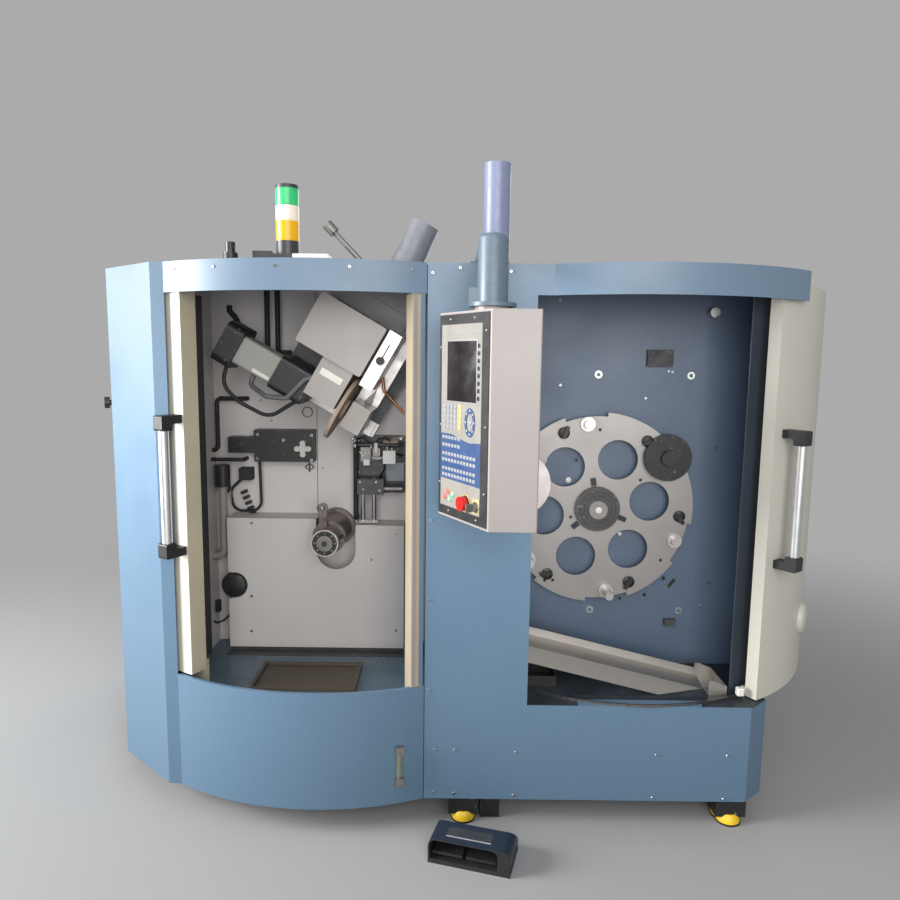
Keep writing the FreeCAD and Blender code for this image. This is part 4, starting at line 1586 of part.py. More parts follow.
def make_roof_pieces():
    plate = box((TOWER_X - TOWER_PLATE_LEFT, TOWER_X + TOWER_PLATE_RIGHT),
                (TOWER_Y - TOWER_PLATE_DEPTH, TOWER_Y + TOWER_PLATE_DEPTH), (ROOF_TOP,
                                                                             ROOF_TOP + TOWER_PLATE))
    z = ROOF_TOP + TOWER_PLATE
    tower = [plate, rod(TOWER_RADIUS, vec(TOWER_X, TOWER_Y, z), UP, TOWER_BASE_TOP - z)]
    z = TOWER_BASE_TOP
    for height in (TOWER_AMBER, TOWER_CLEAR, TOWER_GREEN):
        tower.append(rod(TOWER_RADIUS, vec(TOWER_X, TOWER_Y, z), UP, height))
        z += height
    tower.append(rod(TOWER_RADIUS, vec(TOWER_X, TOWER_Y, z), UP, TOWER_CAP))
    box_right = TOWER_X - TOWER_PLATE_LEFT
    tower.append(box((box_right - TOWER_BOX_WIDTH, box_right),
                     (TOWER_Y - TOWER_PLATE_DEPTH, TOWER_Y + TOWER_PLATE_DEPTH),
                     (ROOF_TOP, ROOF_TOP + TOWER_BOX_HEIGHT)))
    save("signal_tower", *tower)

    vent = fused(rod(VENT_BASE_RADIUS, vec(VENT_X, VENT_Y, ROOF_TOP), UP, VENT_BASE),
                 rod(VENT_RADIUS, vec(VENT_X, VENT_Y, ROOF_TOP), UP, VENT_TOP - ROOF_TOP))
    lean = vec(STALK_RUN, 0, STALK_RISE)
    foot = vec(STALK_X, STALK_Y, ROOF_TOP)
    stalk = fused(rod(STALK_BASE_RADIUS, foot, UP, STALK_BASE), rod(STALK_RADIUS, foot, lean, lean.Length))
    stalk = stalk.cut(box((STALK_X - STALK_BASE_RADIUS, STALK_X + STALK_BASE_RADIUS),
                          (STALK_Y - STALK_BASE_RADIUS,
                           STALK_Y + STALK_BASE_RADIUS), (ROOF_TOP - STALK_RADIUS, ROOF_TOP)))
    tip = foot + lean
    head = rod(STALK_HEAD_RADIUS, tip, lean, STALK_HEAD)

    stub_direction = vec(math.sin(math.radians(STUB_LEAN)), 0, math.cos(math.radians(STUB_LEAN)))
    stub_foot = vec(STUB_X, STUB_Y, ROOF_TOP) - stub_direction * STUB_RADIUS
    stub = rod(STUB_RADIUS, stub_foot, stub_direction, STUB_LENGTH + STUB_RADIUS)
    under = box((STUB_X - STUB_LENGTH, STUB_X + STUB_LENGTH), (STUB_Y - STUB_LENGTH, STUB_Y + STUB_LENGTH),
                (ROOF_TOP - STUB_LENGTH, ROOF_TOP))
    bore = rod(STUB_RADIUS - STUB_WALL, stub_foot, stub_direction, STUB_LENGTH + STUB_RADIUS + OVERRUN)
    collar = rod(STUB_COLLAR_RADIUS, vec(STUB_X, STUB_Y, ROOF_TOP), UP, STUB_COLLAR)
    root = rod(STUB_ROOT_RADIUS, stub_foot, stub_direction, STUB_ROOT + STUB_RADIUS)
    stub = fused(stub, root).cut(under)
    collar = collar.cut(stub.fuse(bore))
    stub = stub.cut(bore)

    duct_z = ROOF_TOP
    duct = fused(rod(DUCT_RADIUS, vec(DUCT_X, DUCT_Y, duct_z), UP, DUCT_TOP - duct_z),
                 rod(DUCT_COLLAR_RADIUS, vec(DUCT_X, DUCT_Y, duct_z), UP, DUCT_COLLAR))
    duct = duct.cut(rod(DUCT_RADIUS - STUB_WALL, vec(DUCT_X, DUCT_Y, duct_z - OVERRUN), UP,
                        DUCT_TOP - duct_z + 2 * OVERRUN))
    save("roof_services", vent, stalk, head, stub, collar, duct)


def make_gauge():
    def on_panel(shape):
        shape.translate(vec(0, -LEFT_SKIN_RADIUS, 0))
        shape.rotate(vec(0, 0, 0), UP, GAUGE_ANGLE)
        shape.translate(vec(LEFT_AXIS_X, LEFT_AXIS_Y, 0))
        return shape

    half = GAUGE_WIDTH / 2
    skin = rod(LEFT_SKIN_RADIUS, vec(LEFT_AXIS_X, LEFT_AXIS_Y, PANEL_BOTTOM), UP, LEFT_LIP_TOP)
    ends = []
    for low in (GAUGE_LOW, GAUGE_HIGH - GAUGE_END):
        end = on_panel(box((-half, half), (-GAUGE_DEPTH, OVERRUN), (low, low + GAUGE_END)))
        ends.append(end.cut(skin))
    tube = rod(GAUGE_TUBE_RADIUS, vec(0, 0, GAUGE_LOW + GAUGE_END), UP,
               GAUGE_HIGH - GAUGE_LOW - 2 * GAUGE_END)
    tube.translate(vec(0, -GAUGE_TUBE_RADIUS, 0))
    save("level_gauge", *ends, on_panel(tube).cut(skin))


def make_side_latch():
    """Quarter-turn knob on the side panel, a little behind the chamfer's edge."""
    run_x = LEFT_SIDE_X - CHAMFER_X
    run_y = LEFT_SIDE_Y - CHAMFER_Y
    length = math.hypot(run_x, run_y)
    along = vec(run_x / length, run_y / length, 0)
    outward = vec(-along.y, along.x, 0)
    foot = vec(CHAMFER_X, CHAMFER_Y, LATCH_Z) + along * LATCH_SETBACK + outward * CONTACT_GAP
    neck = rod(LATCH_NECK_RADIUS, foot, outward, LATCH_NECK)
    knob = rod(LATCH_RADIUS, foot + outward * LATCH_NECK, outward, LATCH_HEIGHT)
    save("side_latch", fused(neck, knob))


def make_foot_switch():
    def placed(shape):
        shape = shape.copy()
        shape.rotate(vec(0, 0, 0), UP, PEDAL_TURN)
        shape.translate(vec(PEDAL_X, PEDAL_Y, 0))
        return shape

    hood = side_prism([
        (0, 0), (PEDAL_DEPTH, 0), (PEDAL_DEPTH, PEDAL_BACK_HEIGHT),
        (PEDAL_DEPTH - PEDAL_BACK_SLOPE, PEDAL_HEIGHT), (0, PEDAL_HEIGHT),
    ], 0, PEDAL_WIDTH)
    hood = rounded(hood, BACK, PEDAL_CORNER)
    base = box((0, PEDAL_WIDTH), (0, PEDAL_DEPTH), (0, PEDAL_BASE))
    room_right = PEDAL_WIDTH - PEDAL_PILLAR
    inner_depth = PEDAL_DEPTH - 2 * PEDAL_WALL
    room = side_prism([
        (-OVERRUN, PEDAL_BASE), (inner_depth, PEDAL_BASE), (inner_depth, PEDAL_BACK_HEIGHT),
        (inner_depth - PEDAL_BACK_SLOPE, PEDAL_HEIGHT - PEDAL_WALL), (-OVERRUN, PEDAL_HEIGHT - PEDAL_WALL),
    ], PEDAL_WALL, room_right)
    room = fused(rounded(room, BACK, PEDAL_ROOM_CORNER),
                 box((PEDAL_WALL, room_right), (-OVERRUN, inner_depth), (PEDAL_BASE, PEDAL_BACK_HEIGHT)))
    body = fused(hood, base).cut(room)
    pin = rod(TREADLE_PIN_RADIUS, vec(PEDAL_WALL, TREADLE_PIVOT_Y, TREADLE_PIVOT_Z), RIGHT,
              room_right - PEDAL_WALL)
    middle = (PEDAL_WALL + room_right) / 2
    half = RIB_WIDTH / 2
    rib = box((middle - half, middle + half), (RIB_FRONT_Y, inner_depth), (PEDAL_BASE, RIB_HEIGHT))
    save("pedal_housing", placed(fused(body, pin, rib)))

    for name, low_x, high_x in (("pedal_left", PEDAL_WALL + TREADLE_GAP, middle - TREADLE_GAP),
                                ("pedal_right", middle + TREADLE_GAP, room_right - TREADLE_GAP)):
        boss = rod(TREADLE_BOSS_RADIUS, vec(low_x, TREADLE_PIVOT_Y, TREADLE_PIVOT_Z), RIGHT, high_x - low_x)
        half = TREADLE_THICKNESS / 2
        plate = box((low_x, high_x), (TREADLE_FRONT, TREADLE_PIVOT_Y),
                    (TREADLE_PIVOT_Z - half, TREADLE_PIVOT_Z + half))
        hole = rod(TREADLE_PIN_RADIUS + BORE_GAP, vec(low_x - OVERRUN, TREADLE_PIVOT_Y, TREADLE_PIVOT_Z),
                   RIGHT,
                   high_x - low_x + 2 * OVERRUN)
        save(name, placed(fused(boss, plate).cut(hole)))


def write_pieces():
    """Move every piece over the middle of the footprint and write one file for each."""
    os.makedirs("parts", exist_ok=True)
    everything = Part.makeCompound([shape for shapes in PIECES.values() for shape in shapes])
    bounds = everything.optimalBoundingBox(False)
    shift = vec(-(bounds.XMin + bounds.XMax) / 2, -(bounds.YMin + bounds.YMax) / 2, 0)
    print("shift", round(shift.x, 4), round(shift.y, 4), "low", bounds.ZMin, "high", bounds.ZMax)
    for name, shapes in PIECES.items():
        solids = [solid for shape in shapes for solid in shape.Solids]
        node = solids[0] if len(solids) == 1 else Part.makeCompound(solids)
        node.translate(shift)
        if not node.isValid():
            print("invalid", name)
        node.exportStep("parts/" + name + ".step")


make_left_cabinet()
make_right_cabinet()
make_rear_panels()
make_roof()
make_frame()
make_bay_walls()
make_floors()
make_arbor_cover()
make_tray()
make_door_rails()
make_seal_posts()
make_left_door()
make_right_door()
make_arbor()
make_grinding_head()
make_gear_unit()
make_clamp_unit()
make_conduits()
make_magazine()
make_loader()
make_chute()
make_wall_fittings()
make_support_arm()
make_console()
make_roof_pieces()
make_gauge()
make_side_latch()
make_foot_switch()
write_pieces()
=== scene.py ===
import json
import math

import bmesh
import bpy
from mathutils import Matrix, Vector


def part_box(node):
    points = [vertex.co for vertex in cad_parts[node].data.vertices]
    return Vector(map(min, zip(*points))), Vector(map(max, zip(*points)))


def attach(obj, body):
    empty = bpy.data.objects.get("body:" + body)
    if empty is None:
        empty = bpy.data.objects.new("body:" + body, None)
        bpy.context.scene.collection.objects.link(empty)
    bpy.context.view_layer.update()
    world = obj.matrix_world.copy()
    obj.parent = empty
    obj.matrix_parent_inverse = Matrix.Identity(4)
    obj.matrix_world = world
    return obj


bl_info = {
    "name": "Saw blade sharpening machine",
    "version": (1, 0, 0),
    "blender": (4, 5, 0),
    "location": "3D View > Sidebar > Sharpener",
    "description": "Finishes, controls and small parts of a machine that sharpens circular saw blades",
    "category": "Object",
}

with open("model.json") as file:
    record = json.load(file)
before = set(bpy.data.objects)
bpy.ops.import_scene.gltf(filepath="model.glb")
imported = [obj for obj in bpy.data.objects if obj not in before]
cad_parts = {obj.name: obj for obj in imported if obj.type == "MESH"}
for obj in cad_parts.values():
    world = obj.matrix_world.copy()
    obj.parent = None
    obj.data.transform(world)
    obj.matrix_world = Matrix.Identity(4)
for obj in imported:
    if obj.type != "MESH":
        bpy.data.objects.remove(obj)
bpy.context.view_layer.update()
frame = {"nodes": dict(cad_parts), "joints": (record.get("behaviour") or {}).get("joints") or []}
MM = 0.001
X, Z = 0, 2
UP = Vector((0, 0, 1))
FRONTWARD = Vector((0, -1, 0))
JOINTS = {joint["name"]: joint for joint in frame["joints"]}


def low_corner(node):
    return Vector(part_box(node)[0])


def high_corner(node):
    return Vector(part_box(node)[1])


def pivot(joint):
    return Vector(JOINTS[joint]["pos_m"])


# The flat front of the right bay and the seam between the bays give the origin of the sizes below.
POST_WIDTH = 70
FRONT = low_corner("right_front_panel") + Vector((POST_WIDTH * MM, 0, 0))
FRONT.z = 0
DATUM = Matrix.Translation(FRONT)


def at(x, y, z):
    """Point in millimetres right of the post's middle, behind the flat front and above the floor."""
    return FRONT + Vector((x, y, z)) * MM


def posed(x, y, z, degrees, axis):
    """Matrix that turns a form about one axis and carries it to a place in millimetres."""
    return Matrix.Translation(Vector((x, y, z)) * MM) @ Matrix.Rotation(math.radians(degrees), 4, axis)


def facing(point, direction=FRONTWARD):
    """Matrix that puts a form's foot at a point and turns its +Z to a direction."""
    return Matrix.Translation(point) @ direction.to_track_quat("Z", "Y").to_matrix().to_4x4()


def axes_at(point, x, y, z):
    """Matrix with its origin at a point and its axes along three directions."""
    matrix = Matrix((x, y, z)).transposed().to_4x4()
    matrix.translation = point
    return matrix


def upright(point, out):
    """Matrix whose Y points up and whose Z points out at a point."""
    return axes_at(point, UP.cross(out), UP, out)


def level(direction):
    """Unit vector along the floor's share of a direction."""
    return Vector((direction.x, direction.y, 0)).normalized()


# The grinding head is laid out square about the wheel's centre and then tilted.
HEAD = DATUM @ posed(-359, 0, 1303, 30, "Y")
# The foot switch stands askew before the machine.
HOOD = DATUM @ posed(-51, -178, 0, -15.4, "Z")

# Panel fasteners as (x, z) places.
PANEL_SCREWS = (
    (-37, 248), (26, 249), (218, 244), (-39, 106), (26, 103), (215, 99), (662, 240), (886, 240),
    (656, 96), (882, 94), (23, 1731), (-56, 1716), (-56, 986), (-56, 736), (-56, 446), (170, 1722),
)
LEFT_FASCIA_SCREW_X = (-818, -683, -500, -288, -112)
LEFT_FASCIA_SCREW_Z = 1723
COVER_SCREWS = ((-710, 876), (-716, 604), (-719, 472), (-279, 745), (-190, 480), (-190, 840))
WALL_SCREWS = (
    (364, 1670), (330, 1127), (917, 1176), (917, 700), (894, 616), (729, 723), (773, 687), (373, 1386),
    (752, 1435), (739, 1438), (665, 1345),
)
BAY_WALL_SCREWS = ((-789, 1613), (-695, 1312), (-656, 1239), (-505, 1450), (-470, 1063), (-470, 1640))
DISC_DIMPLES = (
    (417, 936), (462, 912), (430, 1134), (334, 711), (362, 712), (507, 1238), (733, 788), (651, 1068),
    (598, 650),
)
GEAR_SCREWS = ((-692, 1193), (-498, 1192), (-694, 1106), (-499, 1101), (-599, 1173))
REAR_JOINT_X = (-489, -71)
REAR_SCREW_Z = (112, 500, 880, 1260, 1640)
REAR_SCREW_MARGIN = 22 * MM
WALL_SHEET = 3 * MM
# Shares of a screw's head: its crown, its socket's radius and depth, and flatter heads in the bays.
CROWN_SHARE = 0.72
SOCKET_SHARE = 0.42
SOCKET_DEPTH_SHARE = 1.04
BAY_HEAD_SHARE = 0.7
DIMPLE_SHARE = 0.5
CLAMP_SCREWS = (
    (-320, 404, 1031), (-308, 404, 1004), (-262, 404, 1031), (-250, 404, 1000), (-335, 484, 1054),
    (-335, 484, 990), (-180, 484, 1178), (-180, 484, 990), (-304, 442, 1130), (-264, 442, 1114),
)

# Thin tubes as finish, radius and points.
CLAMP_TUBES = (
    ("pale block", 2.5, ((-326, 436, 1134), (-306, 434, 1120), (-279, 432, 1114), (-250, 400, 1116),
                         (-237, 394, 1122))),
    ("rubber", 4, ((-228, 390, 1102), (-232, 396, 1080), (-250, 430, 1046), (-252, 446, 1036))),
    ("rubber", 3.5, ((-196, 400, 1132), (-184, 420, 1128), (-176, 450, 1120), (-174, 484, 1118))),
    ("rubber", 3, ((-266, 436, 1166), (-258, 436, 1180), (-236, 436, 1186), (-214, 440, 1176))),
    ("rubber", 3, ((-342, 440, 1162), (-336, 438, 1180), (-312, 438, 1186), (-296, 440, 1172),
                   (-286, 438, 1156))),
)
BAY_HOSES = (
    ("rubber", 4, ((-868, 430, 497), (-850, 420, 494), (-825, 412, 506), (-799, 402, 530))),
    ("rubber", 10, ((-796, 488, 1650), (-796, 488, 1630), (-778, 487, 1611), (-766, 486, 1592),
                    (-770, 485, 1570))),
)
# Upright unions of the clamping unit as foot, radius, length and finish.
CLAMP_UNIONS = (
    (-305, 438, 1086, 7, 22, "pale block"), (-294, 438, 1086, 6, 22, "pale block"),
    (-266, 436, 1134, 7, 34, "pale block"), (-222, 396, 1146, 5, 16, "ground steel"),
    (-205, 396, 1146, 5, 12, "ground steel"), (-342, 440, 1150, 6, 14, "ground steel"),
    (-284, 436, 1148, 6, 10, "ground steel"),
)
# Rounded boxes as two corners, edge and finish: plate behind the oval eyelet, dark skirt and floor strip that
# paint the shade in the gap under the arbor's cover, bracket of the thin hose and pale block on the roof,
# whose pale colour is partly a painted highlight.
BAY_BLOCKS = (
    ((-521, 494, 1050), (-515, 500, 1084), 0.3, "dark casting"),
    # Dark skirt and floor strip: painted shade in the gap under the arbor's cover.
    ((-797, 398.5, 400), (-163, 400.5, 413), 0.2, "dark enamel"),
    ((-797, 352, 399), (-163, 399, 401.5), 0.2, "dark enamel"),
    ((-860, 430, 530), (-842, 450, 575), 2, "black plastic"),
    # Pale block on the roof: its pale colour partly stands for a painted highlight on the roof plate.
    ((-484, 103.5, 1746), (-376, 196.5, 1780), 1, "pale block"),
)
HEAD_PLATES = (
    ((-308, 210.8, -40), (-248, 213, -28), 0.3, "pale label"),
    ((-111, 174.8, 70), (-34, 177, 92), 0.3, "pale label"),
    ((35, 189, 196), (39, 191, 262), 0.3, "black plastic"),
)
SWITCH_PLATES = (
    ((50, 26, 77), (184, 66, 78.5), 0.3, "dark enamel"),
    ((50, 22, 77), (184, 26, 79), 0.3, "grey cap"),
)
# Buttons on the back wall of the magazine bay as (x, z), radius and finish.
WALL_BUTTONS = (
    (411, 1059, 10, "pale block"), (596, 872, 7, "pale block"), (757, 713, 6, "black plastic"),
    (693, 652, 6, "black plastic"),
)
WALL_BOLT_X = (501, 815)
WALL_BOLT_Z = (596.5, 1423.5)
OUTLET_X = (677, 701, 727)
OUTLET_Z = 1491
STATION_COUNT = 6
BOSS_PITCH_RADIUS = 285 * MM
BOSS_START = math.radians(-5)
FLANGE_BOLT_COUNT = 8
FLANGE_BOLT_PITCH_RADIUS = 34.5 * MM
LENSES = ((1823, 1879, "amber lens"), (1882, 1924, "clear lens"), (1927, 1975, "green lens"))
RIB_PITCH = 3
RIB_HEIGHT = 0.9
SLEEVE_RADIUS = 34.8
SILL_STRIP = ((410, 1), (797, 1), (807, 44), (416, 44))
SILL_Z = 400
FRONT_FOOT_X = (57, 913)

# Operator panel, in millimetres along the face from its far corner and above the floor.
FIELD = (15.5, 1067.5, 218, 1559.5)
FIELD_THICKNESS = 0.2
SCREEN = (48.5, 1358, 194, 1515.5)
SOFT_KEY_COUNT = 8
SOFT_KEY_U = 204
SOFT_KEY_Z = (1370, 1503)
PAD_U = (36, 54, 72, 90)
PAD_Z = (1343, 1329, 1315, 1301, 1287)
PAD_COLUMN = (102, 1280, 122, 1350)
RING_CENTRE = (165, 1306)
RING_SIZE = (25, 38)
RING_KEY_COUNT = 8
RING_KEY_SHARE = 0.81
BLUE_TOP = ((15.5, 1268), (74, 1268), (127, 1257), (165, 1252), (218, 1257))
BLUE_BOTTOM = 1144
# Rows of keys as height, first and last place and count.
KEY_ROWS = (
    (1258, 32, 112, 6), (1237, 32, 112, 6), (1213, 32, 189, 11), (1196, 32, 189, 11), (1172, 32, 189, 11),
    (1155, 32, 189, 11),
)
STOP = (150, 1092)
STOP_HOLE = 20.5
LAMPS = ((56, 1108, "red lamp"), (84, 1105, "green lamp"), (40, 1092, "red lamp"), (68, 1090, "green lamp"))
FACE_SCREWS = (
    (60, 1573), (180, 1573), (234, 1540), (236, 1300), (236, 1130), (200, 1056), (60, 1056), (11, 1500),
    (11, 1290), (11, 1130),
)
KEY_SWITCH_U = 200 * MM

SURROUND = "#ababab"
SKY = "#dcdcdc"
# Soft lights as place, size and the stage's property that holds the power.
LIGHTS = {
    "key_light": ((-5.2, -1.4, 2.2), 2.6, "key_power"),
    "front_light": ((0.4, -4.8, 2.2), 3.2, "front_power"),
    "top_light": ((0.0, -1.6, 4.6), 3.4, "top_power"),
    "rear_light": ((1.6, 5.2, 3.0), 3.0, "rear_power"),
}


def linear(text):
    """Linear colour of an sRGB hex value."""
    parts = [int(text[start:start + 2], 16) / 255 for start in (1, 3, 5)]
    return (*[c / 12.92 if c <= 0.04045 else ((c + 0.055) / 1.055) ** 2.4 for c in parts], 1.0)


def add_node(tree, kind, inputs=None, **settings):
    """Add a node with its own settings; each input takes a value or the socket that feeds it."""
    node = tree.nodes.new(kind)
    for name, value in settings.items():
        setattr(node, name, value)
    for name, value in (inputs or {}).items():
        if isinstance(value, bpy.types.NodeSocket):
            tree.links.new(value, node.inputs[name])
        else:
            node.inputs[name].default_value = value
    return node


def output(tree, kind, inputs=None, **settings):
    """Add a node and return its first output."""
    return add_node(tree, kind, inputs, **settings).outputs[0]


def calculate(operation, first, second):
    return output(first.id_data, "ShaderNodeMath", {0: first, 1: second}, operation=operation)


def noise(place, size, detail):
    """Cloudy value with patches of the given size."""
    return output(place.id_data, "ShaderNodeTexNoise", {"Vector": place, "Scale": 1 / size, "Detail": detail})


def stretch(value, start, end, low=0.0, high=1.0):
    """Value carried from one range to another and held within it."""
    return output(value.id_data, "ShaderNodeMapRange", {0: value, 1: start, 2: end, 3: low, 4: high})


def blend(amount, first, second):
    """Colour between two others."""
    inputs = {0: amount, 6: first, 7: second}
    return add_node(amount.id_data, "ShaderNodeMix", inputs, data_type="RGBA").outputs[2]


def feed(shader, label, socket):
    shader.id_data.links.new(socket, shader.inputs[label])


def emboss(shader, height, depth):
    """Raise the surface by a value."""
    inputs = {"Height": height, "Distance": depth, "Strength": 1.0}
    feed(shader, "Normal", output(shader.id_data, "ShaderNodeBump", inputs))


def new_finish(name, **values):
    """Material with a principled shader; returns the shader and the object coordinates."""
    material = bpy.data.materials.new(name)
    material.use_nodes = True
    tree = material.node_tree
    tree.nodes.clear()
    inputs = {key.replace("_", " ").title().replace("Ior", "IOR"): value for key, value in values.items()}
    shader = add_node(tree, "ShaderNodeBsdfPrincipled", inputs)
    add_node(tree, "ShaderNodeOutputMaterial", {"Surface": shader.outputs[0]})
    return shader, add_node(tree, "ShaderNodeTexCoord").outputs["Object"]


def mottle(shader, place, first, second, size, contrast=0.5):
    """Let the colour drift between two tones over patches of the given size."""
    amount = stretch(noise(place, size, 4.0), 0.5 - contrast / 2, 0.5 + contrast / 2)
    colour = blend(amount, linear(first), linear(second))
    feed(shader, "Base Color", colour)
    return colour


def relief(shader, place, size, depth, detail=1.0):
    """Raise the surface in grains of the given size and depth."""
    emboss(shader, noise(place, size, detail), depth)


def uneven_gloss(shader, place, low, high, size):
    """Let the roughness drift between two values over patches of the given size."""
    feed(shader, "Roughness", stretch(noise(place, size, 3.0), 0.35, 0.65, low, high))


def powder_coat(name, first, second, dimple=0.0035, depth=0.00022, foot=None, top_sheen=None):
    """Powder coat on sheet steel: orange peel, darker towards the foot as painted shade and greyer at the top
    as a painted sheen.
    """
    shader, place = new_finish(name, specular_ior_level=0.5)
    colour = mottle(shader, place, first, second, 0.006, 0.3)
    # Painted light: the colour is scaled darker towards the foot as painted shade and blended to grey towards
    # the top as a painted sheen.
    if top_sheen:
        tree = shader.id_data
        height = add_node(tree, "ShaderNodeSeparateXYZ", {0: place}).outputs["Z"]
        foot_shade = stretch(height, 0.1, 1.1, foot, 1.0)
        darker = output(tree, "ShaderNodeVectorMath", {0: colour, "Scale": foot_shade}, operation="SCALE")
        feed(shader, "Base Color", blend(stretch(height, 1.2, 1.75, 0.0, 0.6), darker, linear(top_sheen)))
    relief(shader, place, dimple, depth)
    uneven_gloss(shader, place, 0.34, 0.46, 0.25)


def enamel(name, first, second, low=0.3, high=0.45, patch=0.22):
    """Brushed or sprayed enamel: smooth, with a film of coolant that dulls it in patches."""
    shader, place = new_finish(name)
    mottle(shader, place, first, second, patch)
    relief(shader, place, 0.012, 0.00015)
    uneven_gloss(shader, place, low, high, 0.12)


def drawn_steel(name, first, second, along, low=0.24, high=0.42, line=0.05):
    """Brushed, rolled or ground steel: fine parallel lines that smear the reflections."""
    shader, place = new_finish(name, metallic=1.0)
    stretched = output(shader.id_data, "ShaderNodeMapping", {"Vector": place, "Scale": along})
    lines = noise(stretched, line, 5.0)
    feed(shader, "Base Color", blend(lines, linear(first), linear(second)))
    feed(shader, "Roughness", stretch(lines, 0.3, 0.7, low, high))
    emboss(shader, lines, 0.00006)


def plated_steel(name, first, second, rough):
    """Polished or chromed steel: a clear mirror with a few soft smears."""
    shader, place = new_finish(name, metallic=1.0)
    mottle(shader, place, first, second, 0.05)
    uneven_gloss(shader, place, rough, rough + 0.10, 0.03)


def moulded_plastic(name, first, second, rough=0.45, grain=0.0012):
    """Injection-moulded plastic: a spark-eroded grain, slightly paler where it is handled."""
    shader, place = new_finish(name, ior=1.5)
    mottle(shader, place, first, second, 0.03)
    relief(shader, place, grain, 0.00008, 2.0)
    uneven_gloss(shader, place, rough - 0.06, rough + 0.08, 0.04)


def clear_plastic(name, first, second, rough):
    """Tinted or clear polycarbonate: light passes, and fine haze shows on it."""
    shader, place = new_finish(name, transmission_weight=0.85, ior=1.49)
    mottle(shader, place, first, second, 0.05)
    uneven_gloss(shader, place, rough, rough + 0.08, 0.06)


def lit_lens(name, first, second, glow):
    """Translucent ribbed lens of a signal lamp: the light inside makes it glow evenly."""
    shader, place = new_finish(name, ior=1.49, emission_strength=glow)
    feed(shader, "Emission Color", mottle(shader, place, first, second, 0.02))
    uneven_gloss(shader, place, 0.2, 0.3, 0.03)


def worn_black(name, first, second, bare):
    """Black paint or oxide on machined blocks, rubbed through to the metal in small spots."""
    shader, place = new_finish(name)
    colour = mottle(shader, place, first, second, 0.05)
    feed(shader, "Base Color", blend(stretch(noise(place, 0.012, 6.0), 0.66, 0.70), colour, linear(bare)))
    relief(shader, place, 0.004, 0.0001, 2.0)
    uneven_gloss(shader, place, 0.34, 0.52, 0.03)


def bonded_grit(name, first, second, grain):
    """Bonded abrasive: sharp grains, drawn coarser than the real ones so that they show."""
    shader, place = new_finish(name, roughness=0.9)
    grains = output(shader.id_data, "ShaderNodeTexVoronoi", {"Vector": place, "Scale": 1 / grain})
    feed(shader, "Base Color", blend(grains, linear(first), linear(second)))
    emboss(shader, grains, 0.0006)


def woven_mesh(name, hole, wire, pitch, thickness):
    """Woven wire sheet: a fine square grid with dark holes."""
    shader, place = new_finish(name, metallic=0.6, roughness=0.5)
    feed(shader, "Base Color", output(shader.id_data, "ShaderNodeTexBrick", {
        "Vector": place, "Color1": linear(hole), "Color2": linear(hole), "Mortar": linear(wire), "Scale": 1.0,
        "Mortar Size": thickness, "Brick Width": pitch, "Row Height": pitch,
    }, offset=0.0))


def shown_rays(tree):
    """Socket that is 1 for rays from the camera and for those that metal and glass send on."""
    path = add_node(tree, "ShaderNodeLightPath").outputs
    mirrored = calculate("MAXIMUM", path["Is Glossy Ray"], path["Is Transmission Ray"])
    return calculate("MAXIMUM", path["Is Camera Ray"], mirrored)


def stage_paint(name, near, bounced, far):
    """Matt paper of the studio floor: it takes the machine's shadow and fades into the surround."""
    shader, place = new_finish(name, roughness=0.9, specular_ior_level=0.1)
    tree = shader.id_data
    straight = shown_rays(tree)
    feed(shader, "Base Color", blend(straight, linear(bounced), linear(near)))
    away = add_node(tree, "ShaderNodeVectorMath", {0: place}, operation="LENGTH").outputs["Value"]
    fade = output(tree, "ShaderNodeMapRange", {0: away, 1: 1.6, 2: 4.6}, interpolation_type="SMOOTHSTEP")
    even = output(tree, "ShaderNodeEmission", {"Color": linear(far)})
    amount = calculate("MULTIPLY", fade, straight)
    mixed = output(tree, "ShaderNodeMixShader", {0: amount, 1: shader.outputs[0], 2: even})
    tree.links.new(mixed, tree.nodes["Material Output"].inputs["Surface"])


